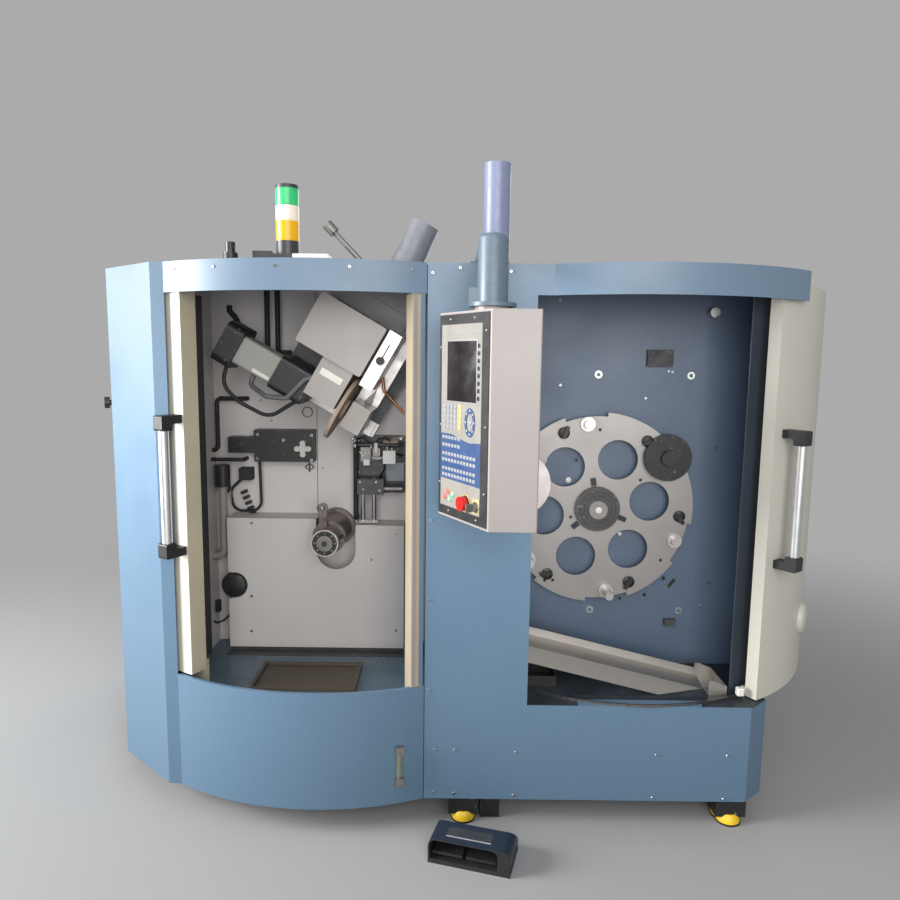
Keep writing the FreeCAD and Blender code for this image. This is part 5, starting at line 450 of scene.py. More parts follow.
# Each finish as its name, two tones and what its maker takes beyond them.
FINISHES = {
    powder_coat: (
        # In the blue coat, 0.68 is the painted shade at the foot and #6d7b89 the painted sheen at the top.
        ("blue powder coat", "#617e97", "#66839b", 0.0035, 0.00022, 0.68, "#6d7b89"),
        ("slate powder coat", "#546377", "#5b6a7e"),
        ("cream powder coat", "#bfbcb1", "#c2bfb4", 0.004, 0.0001),
        ("console powder coat", "#9d9592", "#9f9794", 0.004, 0.0001),
        ("arm powder coat", "#596876", "#62717f"),
    ),
    enamel: (
        ("pale enamel", "#c0bbb9", "#c9c4c2", 0.3, 0.5),
        ("cover enamel", "#b6b2af", "#bcb8b5", 0.35, 0.55, 0.3),
        ("floor enamel", "#3e5360", "#4b606c", 0.18, 0.45, 0.1),
        ("dark floor enamel", "#20262c", "#2b3238", 0.25, 0.5, 0.1),
        ("spindle enamel", "#918c88", "#98938f"),
        ("motor enamel", "#8e8d86", "#969590"),
        ("guard enamel", "#98918c", "#a59e98"),
        ("pale block", "#d9d6d2", "#e2dfdb"),
        ("wash blue", "#8b9097", "#969ba2"),
        ("cast alloy", "#b3b0aa", "#c0bdb7", 0.35, 0.5, 0.02),
        ("hub cap", "#8a8782", "#94918c", 0.35, 0.5, 0.02),
        ("conduit grey", "#8b8684", "#96918f"),
        ("door edge", "#aca48c", "#b8b09a", 0.35, 0.5),
        ("khaki coat", "#a3957f", "#ada08b", 0.4, 0.55),
        # Very dark slate that stands in for the shade on the right seal post: painted shade.
        ("wall slate", "#2e3640", "#363f49", 0.35, 0.5),
        ("dark enamel", "#2b2d30", "#3a3c3f", 0.35, 0.5, 0.06),
    ),
    drawn_steel: (
        ("rolled stainless", "#b0aba5", "#c2beb9", (1, 12, 12), 0.4, 0.55),
        ("ground steel", "#93908e", "#b9b6b3", (1, 30, 1)),
        ("stained steel", "#4a3a33", "#8f8a86", (1, 6, 1), 0.3, 0.55, 0.03),
        ("dull steel", "#6b6866", "#8d8a87", (1, 20, 1), 0.3, 0.55),
        ("anodised aluminium", "#96928f", "#a19d9a", (1, 1, 1), 0.42, 0.55, 0.12),
    ),
    plated_steel: (
        ("chromed steel", "#cfcfce", "#dcdcdb", 0.06),
        ("bright sheet", "#b4afac", "#cac5c2", 0.34),
        ("handle tube", "#d0d1d1", "#dadbdb", 0.36),
        ("gripper steel", "#bab2ae", "#c9c2be", 0.4),
        ("copper pipe", "#a8694a", "#b97a58", 0.25),
        ("zinc screw", "#b9bab8", "#c9cac8", 0.25),
    ),
    moulded_plastic: (
        ("black plastic", "#1c1c1d", "#262627"),
        ("grey plastic", "#72737a", "#7b7c83"),
        ("hood plastic", "#18202e", "#1f2837", 0.4),
        ("yellow plastic", "#d9b21c", "#e5c028"),
        ("red plastic", "#c01818", "#cf2420", 0.3),
        ("duct plastic", "#7b839f", "#848ba8", 0.35),
        ("pale label", "#cdccc2", "#d5d4ca", 0.4),
        ("membrane cream", "#8d8a83", "#928f88", 0.4),
        ("membrane blue", "#2e4873", "#334e7b", 0.4),
        ("membrane yellow", "#ada273", "#b5aa7a", 0.4),
        ("key cap", "#909397", "#999ca0", 0.4),
        ("red lamp", "#d8685f", "#e37a70", 0.25),
        ("green lamp", "#8fb89a", "#9cc4a6", 0.25),
        ("screen glass", "#201c20", "#262226", 0.22, 0.05),
        ("rubber", "#141414", "#1d1d1d", 0.65),
        ("hose grey", "#555557", "#5e5e60", 0.5),
        ("grey cap", "#8f9092", "#9a9b9d", 0.4),
    ),
    clear_plastic: (
        ("clear sheet", "#dfe6e8", "#dfe6e8", 0.04),
        ("gauge tube", "#dcdccc", "#c9c39a", 0.1),
    ),
    lit_lens: (
        ("amber lens", "#d99f0c", "#e3ad14", 0.14),
        ("clear lens", "#e2d5c0", "#eadfce", 0.14),
        ("green lens", "#22ab60", "#42c47c", 0.14),
    ),
    worn_black: (
        ("black block", "#161718", "#202122", "#6f6d69"),
        ("dark casting", "#3a3a3b", "#4a4a4b", "#918e8a"),
    ),
    bonded_grit: (("bonded grit", "#7b6858", "#b3a290", 0.0015),),
    woven_mesh: (("mesh steel", "#2b2622", "#6b6056", 0.0045, 0.0009),),
    stage_paint: (("studio paper", "#969696", "#8a8a8a", SURROUND),),
}
# Nodes that carry one finish all over.
PLAIN_NODES = {
    "blue powder coat": ("left_lower_panel", "left_fascia", "left_side_panel", "right_front_panel",
                         "right_fascia", "right_side_panel", "rear_panels", "roof_panels"),
    "slate powder coat": ("divider_wall", "magazine_back_wall"),
    "cream powder coat": ("right_door_panel",),
    "console powder coat": ("console_housing",),
    "arm powder coat": ("support_arm",),
    "dark enamel": ("base_frame", "frame_uprights", "head_turret", "head_carriage"),
    "pale enamel": ("grinding_bay_walls",),
    "cover enamel": ("arbor_cover",),
    "motor enamel": ("servo_motor",),
    "spindle enamel": ("spindle_cover",),
    "cast alloy": ("star_knob",),
    "black block": ("gearbox_unit", "magazine_knobs", "side_latch"),
    "black plastic": ("pedal_left", "pedal_right", "console_face"),
    "red plastic": ("estop_button",),
    "rubber": ("left_door_seal",),
    "clear sheet": ("left_door_window",),
    "rolled stainless": ("loader_beam", "chute"),
    "dull steel": ("magazine_bearing", "door_rails"),
    "stained steel": ("arbor_housing",),
    "ground steel": ("key_switch", "swivel_plate"),
    "chromed steel": ("clamp_rods",),
    "gripper steel": ("loader_gripper",),
    "mesh steel": ("mesh_tray",),
    "anodised aluminium": ("magazine_disc",),
    "bonded grit": ("grinding_wheel",),
}
# Nodes with solids of other finishes: name, own finish, axes, and each other finish with the two corners that
# its solids lie between.
MIXED_NODES = (
    ("motor_coupling", "black block", HEAD, (
        ("rubber", (-410, 220, -170), (-120, 250, -62)),
        ("rubber", (-410, 220, -170), (-385, 250, -60)),
        ("hose grey", (-320, 170, -100), (-100, 201, 70)),
        ("hose grey", (-312, 170, -95), (-215, 250, -40)),
    )),
    ("wheel_guard", "bright sheet", HEAD, (
        ("guard enamel", (20, 196, -60), (100, 400, 50)),
        ("black plastic", (20, 150, 150), (60, 189, 260)),
        ("copper pipe", (50, 320, 50), (200, 378, 160)),
    )),
    ("clamp_frame", "dark casting", DATUM, (
        ("pale block", (-240, 378, 1098), (-190, 484, 1148)),
        ("khaki coat", (-244, 455, 1148), (-186, 484, 1182)),
        ("dull steel", (-242, 425, 985), (-170, 456, 1016)),
        ("dull steel", (-324, 441, 1096), (-250, 484, 1152)),
        ("rubber", (-352, 450, 880), (-331, 470, 1170)),
    )),
    ("bay_conduits", "rubber", DATUM, (
        ("black plastic", (-856, 420, 998), (-798, 484, 1080)),
        ("conduit grey", (-880, 436, 730), (-800, 470, 998)),
    )),
    ("wall_fittings", "zinc screw", DATUM, (
        ("dark casting", (760, 300, 530), (815, 331, 575)),
        ("black block", (640, 0, 1445), (752, 400, 1520)),
        ("black plastic", (250, 130, 390), (366, 242, 442)),
    )),
)


def finish(name):
    return bpy.data.materials[name]


def new_object(name, data):
    made = bpy.data.objects.new(name, data)
    bpy.context.scene.collection.objects.link(made)
    return made


def smooth(mesh, crease=35):
    mesh.shade_smooth()
    mesh.set_sharp_from_angle(angle=math.radians(crease))


def dress(node, name, *others):
    """Give a frame node its finish, and its other solids theirs, chosen by where a face lies."""
    mesh = frame["nodes"][node].data
    mesh.materials.clear()
    mesh.materials.append(finish(name))
    for index, (other, chosen) in enumerate(others, 1):
        mesh.materials.append(finish(other))
        for face in mesh.polygons:
            if chosen(face.center, face.normal):
                face.material_index = index


def within(low, high, axes=DATUM):
    """Test for faces whose centre lies between two corners, in millimetres along the given axes."""
    back = axes.inverted()
    return lambda centre, normal: all(a < c / MM < b for a, c, b in zip(low, back @ centre, high))


def between(axis, low, high=math.inf, start=FRONT):
    """Test for faces whose centre lies between two places on one axis, in millimetres from a start."""
    return lambda centre, normal: low < (centre[axis] - start[axis]) / MM < high


def around(joint, low, high):
    """Test for faces whose centre lies between two distances in millimetres from a joint's axis."""
    middle = pivot(joint)
    return lambda centre, normal: low < math.hypot(centre.x - middle.x, centre.z - middle.z) / MM < high


def middle_of(node, margin):
    """Test for faces that lie further than a margin in millimetres from a node's foot and top."""
    low = low_corner(node)
    return between(Z, margin, (high_corner(node).z - low.z) / MM - margin, low)


def circle(radius, sides):
    turns = [2 * math.pi * i / sides for i in range(sides)]
    return [(radius * MM * math.cos(turn), radius * MM * math.sin(turn)) for turn in turns]


def outward(form):
    bmesh.ops.recalc_face_normals(form, faces=form.faces[:])
    return form


def block(low, high, edge=0.3, steps=1):
    """Box between two corners with rounded edges, in millimetres like all forms."""
    form = bmesh.new()
    bmesh.ops.create_cube(form, size=1)
    low, high = Vector(low) * MM, Vector(high) * MM
    for vertex in form.verts:
        vertex.co = (low + high) / 2 + vertex.co * (high - low)
    if edge:
        bmesh.ops.bevel(form, geom=form.edges[:], offset=edge * MM, segments=steps, profile=0.6,
                        affect="EDGES")
    return form


def turned(profile, sides=20):
    """Form turned about +Z from (radius, height) points, closed at both ends."""
    form = bmesh.new()
    rings = []
    for radius, height in profile:
        corners = circle(radius, sides) if radius > 0 else [(0, 0)]
        rings.append([form.verts.new((x, y, height * MM)) for x, y in corners])
    for below, above in zip(rings, rings[1:]):
        for i in range(sides):
            corners = [below[i % len(below)], below[(i + 1) % len(below)],
                       above[(i + 1) % len(above)], above[i % len(above)]]
            form.faces.new(list(dict.fromkeys(corners)))
    for ring in (rings[0], rings[-1]):
        if len(ring) > 1:
            form.faces.new(ring)
    return outward(form)


def button(radius, shoulder, crown, top, sides=20):
    """Round button that is straight up to its shoulder and drawn in to its crown."""
    return turned(((radius, 0), (radius, shoulder), (crown, top), (0, top)), sides)


def ring_form(inner, outer, height, sides=40, edge=0.0):
    """Flat ring about +Z with softened rims."""
    form = bmesh.new()
    profile = ((inner, 0), (outer, 0), (outer, height - edge), (outer - edge, height),
               (inner + edge, height), (inner, height - edge))
    loops = [[form.verts.new((x, y, z * MM)) for x, y in circle(radius, sides)] for radius, z in profile]
    for a, b in zip(loops, loops[1:] + loops[:1]):
        for i in range(sides):
            form.faces.new((a[i], a[(i + 1) % sides], b[(i + 1) % sides], b[i]))
    bmesh.ops.remove_doubles(form, verts=form.verts[:], dist=1e-7)
    return outward(form)


def plate_form(outline, thickness):
    """Flat plate from (x, y) corners, standing on the XY plane."""
    form = bmesh.new()
    face = form.faces.new([form.verts.new((x * MM, y * MM, 0)) for x, y in outline])
    grown = bmesh.ops.extrude_face_region(form, geom=[face])
    for item in grown["geom"]:
        if isinstance(item, bmesh.types.BMVert):
            item.co.z = thickness * MM
    return outward(form)


def tube_form(points, radius, sides):
    """Round tube through points, closed at both ends."""
    points = [Vector(point) * MM for point in points]
    form = bmesh.new()
    rings = []
    for index, point in enumerate(points):
        before, after = points[max(index - 1, 0)], points[min(index + 1, len(points) - 1)]
        turn = (after - before).to_track_quat("Z", "Y").to_matrix()
        rings.append([form.verts.new(point + turn @ Vector((x, y, 0))) for x, y in circle(radius, sides)])
    for below, above in zip(rings, rings[1:]):
        start = min(range(sides), key=lambda i: (above[i].co - below[0].co).length)
        for i in range(sides):
            form.faces.new((below[i], below[(i + 1) % sides],
                            above[(i + 1 + start) % sides], above[(i + start) % sides]))
    form.faces.new(rings[0])
    form.faces.new(rings[-1])
    return outward(form)


class Piece:
    """One mesh that collects forms, each with its own finish."""

    def __init__(self, name):
        self.name = name
        self.mesh = bmesh.new()
        self.finishes = []

    def add(self, form, name, matrix=DATUM):
        if name not in self.finishes:
            self.finishes.append(name)
        for face in form.faces:
            face.material_index = self.finishes.index(name)
        bmesh.ops.transform(form, matrix=matrix, verts=form.verts[:])
        part = bpy.data.meshes.new("part")
        form.to_mesh(part)
        form.free()
        self.mesh.from_mesh(part)
        bpy.data.meshes.remove(part)

    def add_blocks(self, rows, matrix=DATUM):
        for low, high, edge, name in rows:
            self.add(block(low, high, edge), name, matrix)

    def add_tubes(self, rows, sides):
        for name, radius, points in rows:
            self.add(tube_form(points, radius, sides), name)

    def place(self, body, slot, crease=35):
        """Make the object and let it ride on its body. The slot is not used."""
        mesh = bpy.data.meshes.new(self.name)
        self.mesh.to_mesh(mesh)
        self.mesh.free()
        for name in self.finishes:
            mesh.materials.append(finish(name))
        smooth(mesh, crease)
        made = new_object(self.name, mesh)
        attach(made, body)


def screw_tree():
    """Node tree that sets a socket screw on every point, square to the surface that the point lies on."""
    tree = bpy.data.node_groups.new("Socket screws", "GeometryNodeTree")
    for label, kind in (("Points", "Geometry"), ("Head Radius", "Float"), ("Head Height", "Float"),
                        ("Head", "Material"), ("Recess", "Material")):
        tree.interface.new_socket(label, in_out="INPUT", socket_type="NodeSocket" + kind)
    tree.interface.new_socket("Screws", in_out="OUTPUT", socket_type="NodeSocketGeometry")
    source = add_node(tree, "NodeGroupInput").outputs
    radius, height = source["Head Radius"], source["Head Height"]
    crown = calculate("MULTIPLY", radius, CROWN_SHARE)
    head = output(tree, "GeometryNodeMeshCone",
                  {"Vertices": 14, "Radius Top": crown, "Radius Bottom": radius, "Depth": height})
    depth = calculate("MULTIPLY", height, SOCKET_DEPTH_SHARE)
    recess = output(tree, "GeometryNodeMeshCylinder",
                    {"Vertices": 6, "Radius": calculate("MULTIPLY", radius, SOCKET_SHARE), "Depth": depth})
    lift = output(tree, "ShaderNodeCombineXYZ", {2: calculate("MULTIPLY", depth, 0.5)})
    raised = output(tree, "GeometryNodeTransform", {"Geometry": recess, "Translation": lift})
    marked = output(tree, "GeometryNodeStoreNamedAttribute",
                    {"Geometry": raised, "Name": "recess", "Value": True}, data_type="BOOLEAN", domain="FACE")
    joined = add_node(tree, "GeometryNodeJoinGeometry")
    for socket in (head, marked):
        tree.links.new(socket, joined.inputs[0])
    away = output(tree, "GeometryNodeInputNamedAttribute", {"Name": "facing"}, data_type="FLOAT_VECTOR")
    turn = output(tree, "FunctionNodeAlignRotationToVector", {"Vector": away}, axis="Z")
    cloud = output(tree, "GeometryNodeInstanceOnPoints",
                   {"Points": source["Points"], "Instance": joined.outputs[0], "Rotation": turn})
    real = output(tree, "GeometryNodeRealizeInstances", {"Geometry": cloud})
    heads = output(tree, "GeometryNodeSetMaterial", {"Geometry": real, "Material": source["Head"]})
    chosen = output(tree, "GeometryNodeInputNamedAttribute", {"Name": "recess"}, data_type="BOOLEAN")
    recesses = output(tree, "GeometryNodeSetMaterial",
                      {"Geometry": heads, "Selection": chosen, "Material": source["Recess"]})
    add_node(tree, "NodeGroupOutput", {0: recesses})


def screws(name, body, points, radius, height, directions=None, head="zinc screw"):
    """Row of like screws on one body that face the front unless they get directions."""
    mesh = bpy.data.meshes.new(name)
    mesh.from_pydata([tuple(point) for point in points], [], [])
    away = mesh.attributes.new("facing", "FLOAT_VECTOR", "POINT")
    for item, direction in zip(away.data, directions or [FRONTWARD] * len(points)):
        item.vector = direction
    made = new_object(name, mesh)
    modifier = made.modifiers.new(name, "NODES")
    tree = modifier.node_group = bpy.data.node_groups["Socket screws"]
    values = {"Head Radius": radius, "Head Height": height, "Head": finish(head),
              "Recess": finish("black plastic")}
    for item in tree.interface.items_tree:
        if item.name in values:
            modifier[item.identifier] = values[item.name]
    bpy.context.view_layer.update()
    evaluated = made.evaluated_get(bpy.context.evaluated_depsgraph_get())
    plain = bpy.data.meshes.new_from_object(evaluated)
    plain.name = name
    made.modifiers.clear()
    made.data = plain
    bpy.data.meshes.remove(mesh)
    smooth(plain)
    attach(made, body)


def spots(pairs, y):
    """Points at (x, z) places on an upright plane."""
    return [Vector((at(x, 0, 0).x, y, z * MM)) for x, z in pairs]


def ring_spots(centre, radius, count, start=0.0):
    """Points evenly round a centre on an upright plane."""
    turns = [2 * math.pi * i / count + start for i in range(count)]
    return [centre + Vector((math.cos(turn), 0, math.sin(turn))) * radius for turn in turns]


def left_skin(x, z, inset=0.0):
    """Point on the curved front of the left bay, and the direction out of it."""
    axis = pivot("left_door_travel")
    radius = axis.y - low_corner("left_lower_panel").y - inset * MM
    point = at(x, 0, z)
    point.y = axis.y - math.sqrt(radius ** 2 - (point.x - axis.x) ** 2)
    return point, level(point - axis)


def number(name, description, default, unit="NONE"):
    return bpy.props.FloatProperty(name=name, description=description, default=default, unit=unit)


class SharpenerSizes(bpy.types.PropertyGroup):
    screw_radius: number("Screw radius", "Radius of the panel screws' heads", 0.0055, "LENGTH")
    screw_height: number("Screw height", "Height of the panel screws' heads", 0.003, "LENGTH")
    key_size: number("Key width", "Width of a key on the operator panel's number pad", 0.012, "LENGTH")


class SharpenerStage(bpy.types.PropertyGroup):
    focal: number("Focal length", "Lens of the camera on a 36 mm sensor", 28.504, "CAMERA")
    pitch: number("Pitch", "Angle that the camera looks down", math.radians(7.22), "ROTATION")
    roll: number("Roll", "Turn of the camera about its line of sight", math.radians(0.715), "ROTATION")
    camera_y: number("Camera distance", "Distance of the camera from the flat front", 2.106, "LENGTH")
    eye_height: number("Eye height", "Height of the camera above the floor", 1.467, "LENGTH")
    key_power: number("Key light", "Power of the soft light at the left", 560.0, "POWER")
    front_power: number("Front light", "Power of the soft light above the camera", 165.0, "POWER")
    top_power: number("Top light", "Power of the soft light above", 40.0, "POWER")
    rear_power: number("Rear light", "Power of the soft light behind the machine", 90.0, "POWER")
    sky: number("Surround", "Strength of the even light from all sides", 0.5)


def dress_all():
    """Give every frame node its finish."""
    for name, nodes in PLAIN_NODES.items():
        for node in nodes:
            dress(node, name)
    for node, name, axes, rows in MIXED_NODES:
        dress(node, name, *((other, within(low, high, axes)) for other, low, high in rows))
    pads = between(Z, 9, 24, low_corner("leveling_feet"))
    third_foot = within((108, -900, 0), (176, 900, 100))
    dress("leveling_feet", "black block",
          ("yellow plastic", lambda c, n: pads(c, n) and abs(n.z) < 0.95 and not third_foot(c, n)))
    dress("bay_floors", "floor enamel", ("dark floor enamel", between(X, -POST_WIDTH)))
    # The right half of the seal posts takes the very dark slate as painted shade.
    dress("seal_posts", "khaki coat", ("wall slate", between(X, 0)))
    dress("level_gauge", "ground steel", ("gauge tube", middle_of("level_gauge", 20)))
    tower = low_corner("signal_tower")
    dress("signal_tower", "dark enamel",
          ("amber lens", between(Z, 76.5, 134.5, tower)),
          ("clear lens", between(Z, 135.5, 179.5, tower)),
          ("green lens", between(Z, 180.5, 230.5, tower)))
    dress("roof_services", "grey plastic", ("duct plastic", between(X, 0)),
          ("black block", between(X, -math.inf, -400)), ("dull steel", between(X, -400, -215)))
    axis = pivot("left_door_travel")
    dress("left_door_panel", "cream powder coat",
          ("door edge", lambda c, n: abs(n.z) < 0.5 and abs(n.dot(level(c - axis))) < 0.35))
    for node in ("left_door_handle", "right_door_handle"):
        dress(node, "black plastic", ("handle tube", middle_of(node, 50)))
    dress("arbor_flange", "dull steel",
          ("bright sheet", around("arbor_spin", 41.5, 48)),
          ("black block", around("arbor_spin", 27, 41.5)),
          ("black plastic", around("arbor_spin", -1, 8.8)))
    dress("magazine_hub", "hub cap", ("bright sheet", around("carousel_spin", 200, math.inf)),
          ("dark casting", around("carousel_spin", 31.5, 80)))
    fore = HOOD.to_3x3() @ FRONTWARD
    dress("pedal_housing", "hood plastic",
          ("black plastic", within((-5, -5, -1), (215, 130, 58), HOOD)),
          ("black plastic", lambda c, n: n.dot(fore) > 0.6))


class OBJECT_OT_sharpener_finishes(bpy.types.Operator):
    """Make the materials and give every frame node its own"""
    bl_idname = "object.sharpener_finishes"
    bl_label = "Finishes"

    def execute(self, context):
        for make, rows in FINISHES.items():
            for row in rows:
                make(*row)
        dress_all()
        return {"FINISHED"}


def rear_points():
    """Points at the edges of the rear panels, with one more in the middle of each foot and top."""
    low, high = low_corner("rear_panels"), high_corner("rear_panels")
    joints = [low.x, *(at(x, 0, 0).x for x in REAR_JOINT_X), high.x]
    points = []
    for start, end in zip(joints, joints[1:]):
        for x in (start + REAR_SCREW_MARGIN, (start + end) / 2, end - REAR_SCREW_MARGIN):
            middle = x == (start + end) / 2
            rows = (REAR_SCREW_Z[0], REAR_SCREW_Z[-1]) if middle else REAR_SCREW_Z
            points += [Vector((x, high.y, z * MM)) for z in rows]
    return points


def make_screws(sizes):
    """Screws of the panels, the bays and the magazine's disc."""
    radius, height = sizes.screw_radius, sizes.screw_height
    curved = [left_skin(x, LEFT_FASCIA_SCREW_Z) for x in LEFT_FASCIA_SCREW_X]
    points = spots(PANEL_SCREWS, FRONT.y) + [point for point, out in curved]
    directions = [FRONTWARD] * len(PANEL_SCREWS) + [out for point, out in curved]
    screws("panel_screws", "cabinet", points, radius, height, directions)
    points = rear_points()
    screws("rear_screws", "cabinet", points, radius, height, [-FRONTWARD] * len(points))
    points = spots(COVER_SCREWS, low_corner("arbor_cover").y)
    points += spots(WALL_SCREWS, high_corner("magazine_back_wall").y - WALL_SHEET)
    points += spots(BAY_WALL_SCREWS, high_corner("grinding_bay_walls").y - WALL_SHEET)
    screws("bay_screws", "cabinet", points, radius, height * BAY_HEAD_SHARE)
    points = spots(DISC_DIMPLES, low_corner("magazine_disc").y)
    screws("disc_screws", "carousel", points, radius, height * DIMPLE_SHARE, head="black plastic")


class OBJECT_OT_sharpener_screws(bpy.types.Operator):
    """Set the screws of the panels, the bays and the magazine"""
    bl_idname = "object.sharpener_screws"
    bl_label = "Screws"

    def execute(self, context):
        screw_tree()
        make_screws(context.scene.sharpener_sizes)
        return {"FINISHED"}


class OperatorPanel(Piece):
    """Screen, keys and lamps on the console's face."""

    def __init__(self):
        super().__init__("operator_panel")
        self.out = Vector(JOINTS["key_turn"]["axis"]).normalized()
        self.face = self.raised(1)

    def raised(self, depth):
        """Matrix from (along the face, above the floor, out of it) to the frame."""
        corner = pivot("key_turn") - UP.cross(self.out) * KEY_SWITCH_U
        corner.z = 0
        return upright(corner + self.out * depth * MM, self.out)

    def tile(self, name, low, high, height, edge=0.8, steps=2):
        """Rounded rectangle of the given height between two corners on the face."""
        self.add(block((*low, 0), (*high, height), edge, steps), name, self.face)

    def set_round(self, name, form, u, z):
        self.add(form, name, self.face @ Matrix.Translation((u * MM, z * MM, 0)))

    def make_fields(self):
        """Cream field with the round hole of the stop, blue field, line and screen."""
        left, low, right, high = FIELD
        stop_u, stop_z = STOP
        split = stop_z + 21
        self.tile("membrane cream", (left, split), (right, high), FIELD_THICKNESS, 0)
        turns = [math.pi * i / 16 for i in range(17)]
        for edge, side in ((left, -1), (right, 1)):
            arc = [(stop_u + side * STOP_HOLE * math.sin(turn), stop_z - STOP_HOLE * math.cos(turn))
                   for turn in turns]
            outline = [(edge, low), (stop_u, low), *arc, (stop_u, split), (edge, split)]
            self.add(plate_form(outline, FIELD_THICKNESS), "membrane cream", self.face)
        outline = [(left, BLUE_BOTTOM), (right, BLUE_BOTTOM - 2), *BLUE_TOP[::-1]]
        self.add(plate_form(outline, 1.2), "membrane blue", self.face)
        self.tile("grey cap", (left + 2, 1533), (right - 2, 1534.5), 1.2, 0.2, 1)
        left, low, right, high = SCREEN
        self.tile("grey cap", (left - 4, low - 4), (right + 4, high + 4), 1.4, 0.6)
        self.tile("screen glass", (left, low), (right, high), 1.8, 0.4)

    def make_keys(self, width):
        """Soft keys beside the screen, number pad, ring of arrow keys and rows of keys."""
        first, last = SOFT_KEY_Z
        for index in range(SOFT_KEY_COUNT):
            z = first + index * (last - first) / (SOFT_KEY_COUNT - 1)
            self.tile("screen glass", (SOFT_KEY_U - 5, z - 5), (SOFT_KEY_U + 4, z + 5), 2.2)
        left, low, right, high = PAD_COLUMN
        self.tile("membrane yellow", (left, low), (right, high), 1.4, 0.5)
        for z in PAD_Z:
            for u in PAD_U:
                self.tile("key cap", (u - width / 2, z - 5), (u + width / 2, z + 5), 2.4)
            self.tile("membrane yellow", (left + 3, z - 5), (right - 3, z + 5), 2.4)
        centre_u, centre_z = RING_CENTRE
        wide, tall = RING_SIZE
        oval = Matrix.Diagonal((wide * MM, tall * MM, 1, 1))
        place = Matrix.Translation((centre_u * MM, centre_z * MM, 0)) @ oval
        self.add(ring_form(620, 1000, 1.6, 48), "membrane blue", self.face @ place)
        for index in range(RING_KEY_COUNT):
            turn = 2 * math.pi * index / RING_KEY_COUNT
            self.set_round("key cap", button(3.5, 2.2, 2.5, 2.7, 12),
                           centre_u + math.cos(turn) * wide * RING_KEY_SHARE,
                           centre_z + math.sin(turn) * tall * RING_KEY_SHARE)
        self.set_round("key cap", button(7, 2, 5, 2.6), centre_u, centre_z)
        for z, start, end, count in KEY_ROWS:
            for index in range(count):
                u = start + (end - start) / (count - 1) * index
                self.tile("key cap", (u - 5.6, z - 4.6), (u + 5.6, z + 4.6), 2.4)

    def make_controls(self):
        """Lamps, yellow ring of the stop, and plate and collar of the key switch."""
        for u, z, name in LAMPS:
            self.set_round(name, turned(((8, 0), (8, 2), (6, 4), (0, 4.8))), u, z)
        self.set_round("membrane yellow", ring_form(STOP_HOLE, 25, 3, 40, 1), *STOP)
        switch = self.face.inverted() @ pivot("key_turn") / MM
        u, z = switch.x, switch.y
        self.tile("membrane yellow", (u - 17, z - 18), (u + 17, z + 22), 1.6, 0.6)
        self.set_round("ground steel", ring_form(10.5, 14.5, 4, 32, 1), u, z)


class OBJECT_OT_sharpener_console(bpy.types.Operator):
    """Build the screen, the keys and the lamps of the operator panel"""
    bl_idname = "object.sharpener_console"
    bl_label = "Console"

    def execute(self, context):
        panel = OperatorPanel()
        panel.make_fields()
        panel.make_keys(context.scene.sharpener_sizes.key_size / MM)
        panel.make_controls()
        panel.place("console", "black_plastic")
        points = [panel.raised(2) @ Vector((u * MM, z * MM, 0)) for u, z in FACE_SCREWS]
        screws("face_screws", "console", points, 0.0035, 0.0015, [panel.out] * len(points))
        return {"FINISHED"}


def make_head_plates():
    """Bare plates on the motor and the spindle cover, slot over the sheet's knob and cable loop."""
    piece = Piece("head_plates")
    piece.add_blocks(HEAD_PLATES, HEAD)
    piece.add(ring_form(15.5, 18.5, 3, 28, 1), "black plastic", HEAD @ posed(-103, 330, -82, 90, "X"))
    piece.place("head", "light_wall")


def make_bay_fittings():
    """Eyelets, plugs in the cable loop, strips on the middle seal post and small parts on the walls."""
    piece = Piece("bay_fittings")
    piece.add(ring_form(9, 15, 7, 28, 2), "dark casting", facing(at(-457, 392, 936)))
    piece.add(ring_form(7.5, 10.5, 4, 24, 1), "dark casting",
              facing(at(-518, 500, 1067)) @ Matrix.Diagonal((1.6, 1, 1, 1)))
    for index in range(5):
        place = posed(-759 + 7.5 * index, 488, 973 - 20 * index, -22, "Y")
        piece.add(block((-12, -8, -5.5), (12, 12, 5.5), 1.5), "black plastic", DATUM @ place)
    point, out = left_skin(-83, 0, 2.5)
    piece.add(block((-6.5, 462, 0), (6.5, 1654, 1), 0.2), "blue powder coat", upright(point, out))
    point -= UP.cross(out) * 22.5 * MM
    piece.add(block((-5, 462, 0), (5, 1654, 1), 0.2), "conduit grey", upright(point, out))
    piece.add(block((-230, 489, 303), (30, 500, 372), 1), "pale enamel", HEAD)
    # These blocks include the dark skirt and floor strip under the arbor's cover, which are painted shade.
    piece.add_blocks(BAY_BLOCKS)
    piece.add(turned(((47, 0), (47, 6), (41, 14), (20, 19), (0, 19)), 40), "black block",
              facing(at(-776, 404, 646)))
    piece.add_tubes(BAY_HOSES, 12)
    for x in WALL_BOLT_X:
        for z in WALL_BOLT_Z:
            disc = turned(((6.5, 0), (6.5, 0.8), (0, 0.8)))
            piece.add(disc, "slate powder coat", facing(at(x, 325, z)))
    piece.place("cabinet", "black_plastic")
    screws("gear_screws", "cabinet", spots(GEAR_SCREWS, at(0, 440, 0).y), 0.0068, 0.003)


def make_clamp_fittings():
    """Back plate, unions, thin tubes, eyelets and screws of the clamping unit."""
    piece = Piece("clamp_fittings")
    piece.add(block((-234, 482.5, 1022), (-168, 485, 1090)), "wash blue")
    for x, y, z, radius, length, name in CLAMP_UNIONS:
        piece.add(button(radius, length - 2, radius - 1.5, length), name, Matrix.Translation(at(x, y, z)))
    piece.add_tubes(CLAMP_TUBES, 10)
    for x, z in ((-350, 1173), (-333, 1165)):
        piece.add(ring_form(5, 8, 5, 24, 1), "chromed steel", facing(at(x, 470, z)))
    piece.place("cabinet", "black_plastic")
    screws("clamp_screws", "cabinet", [at(*place) for place in CLAMP_SCREWS], 0.005, 0.003)


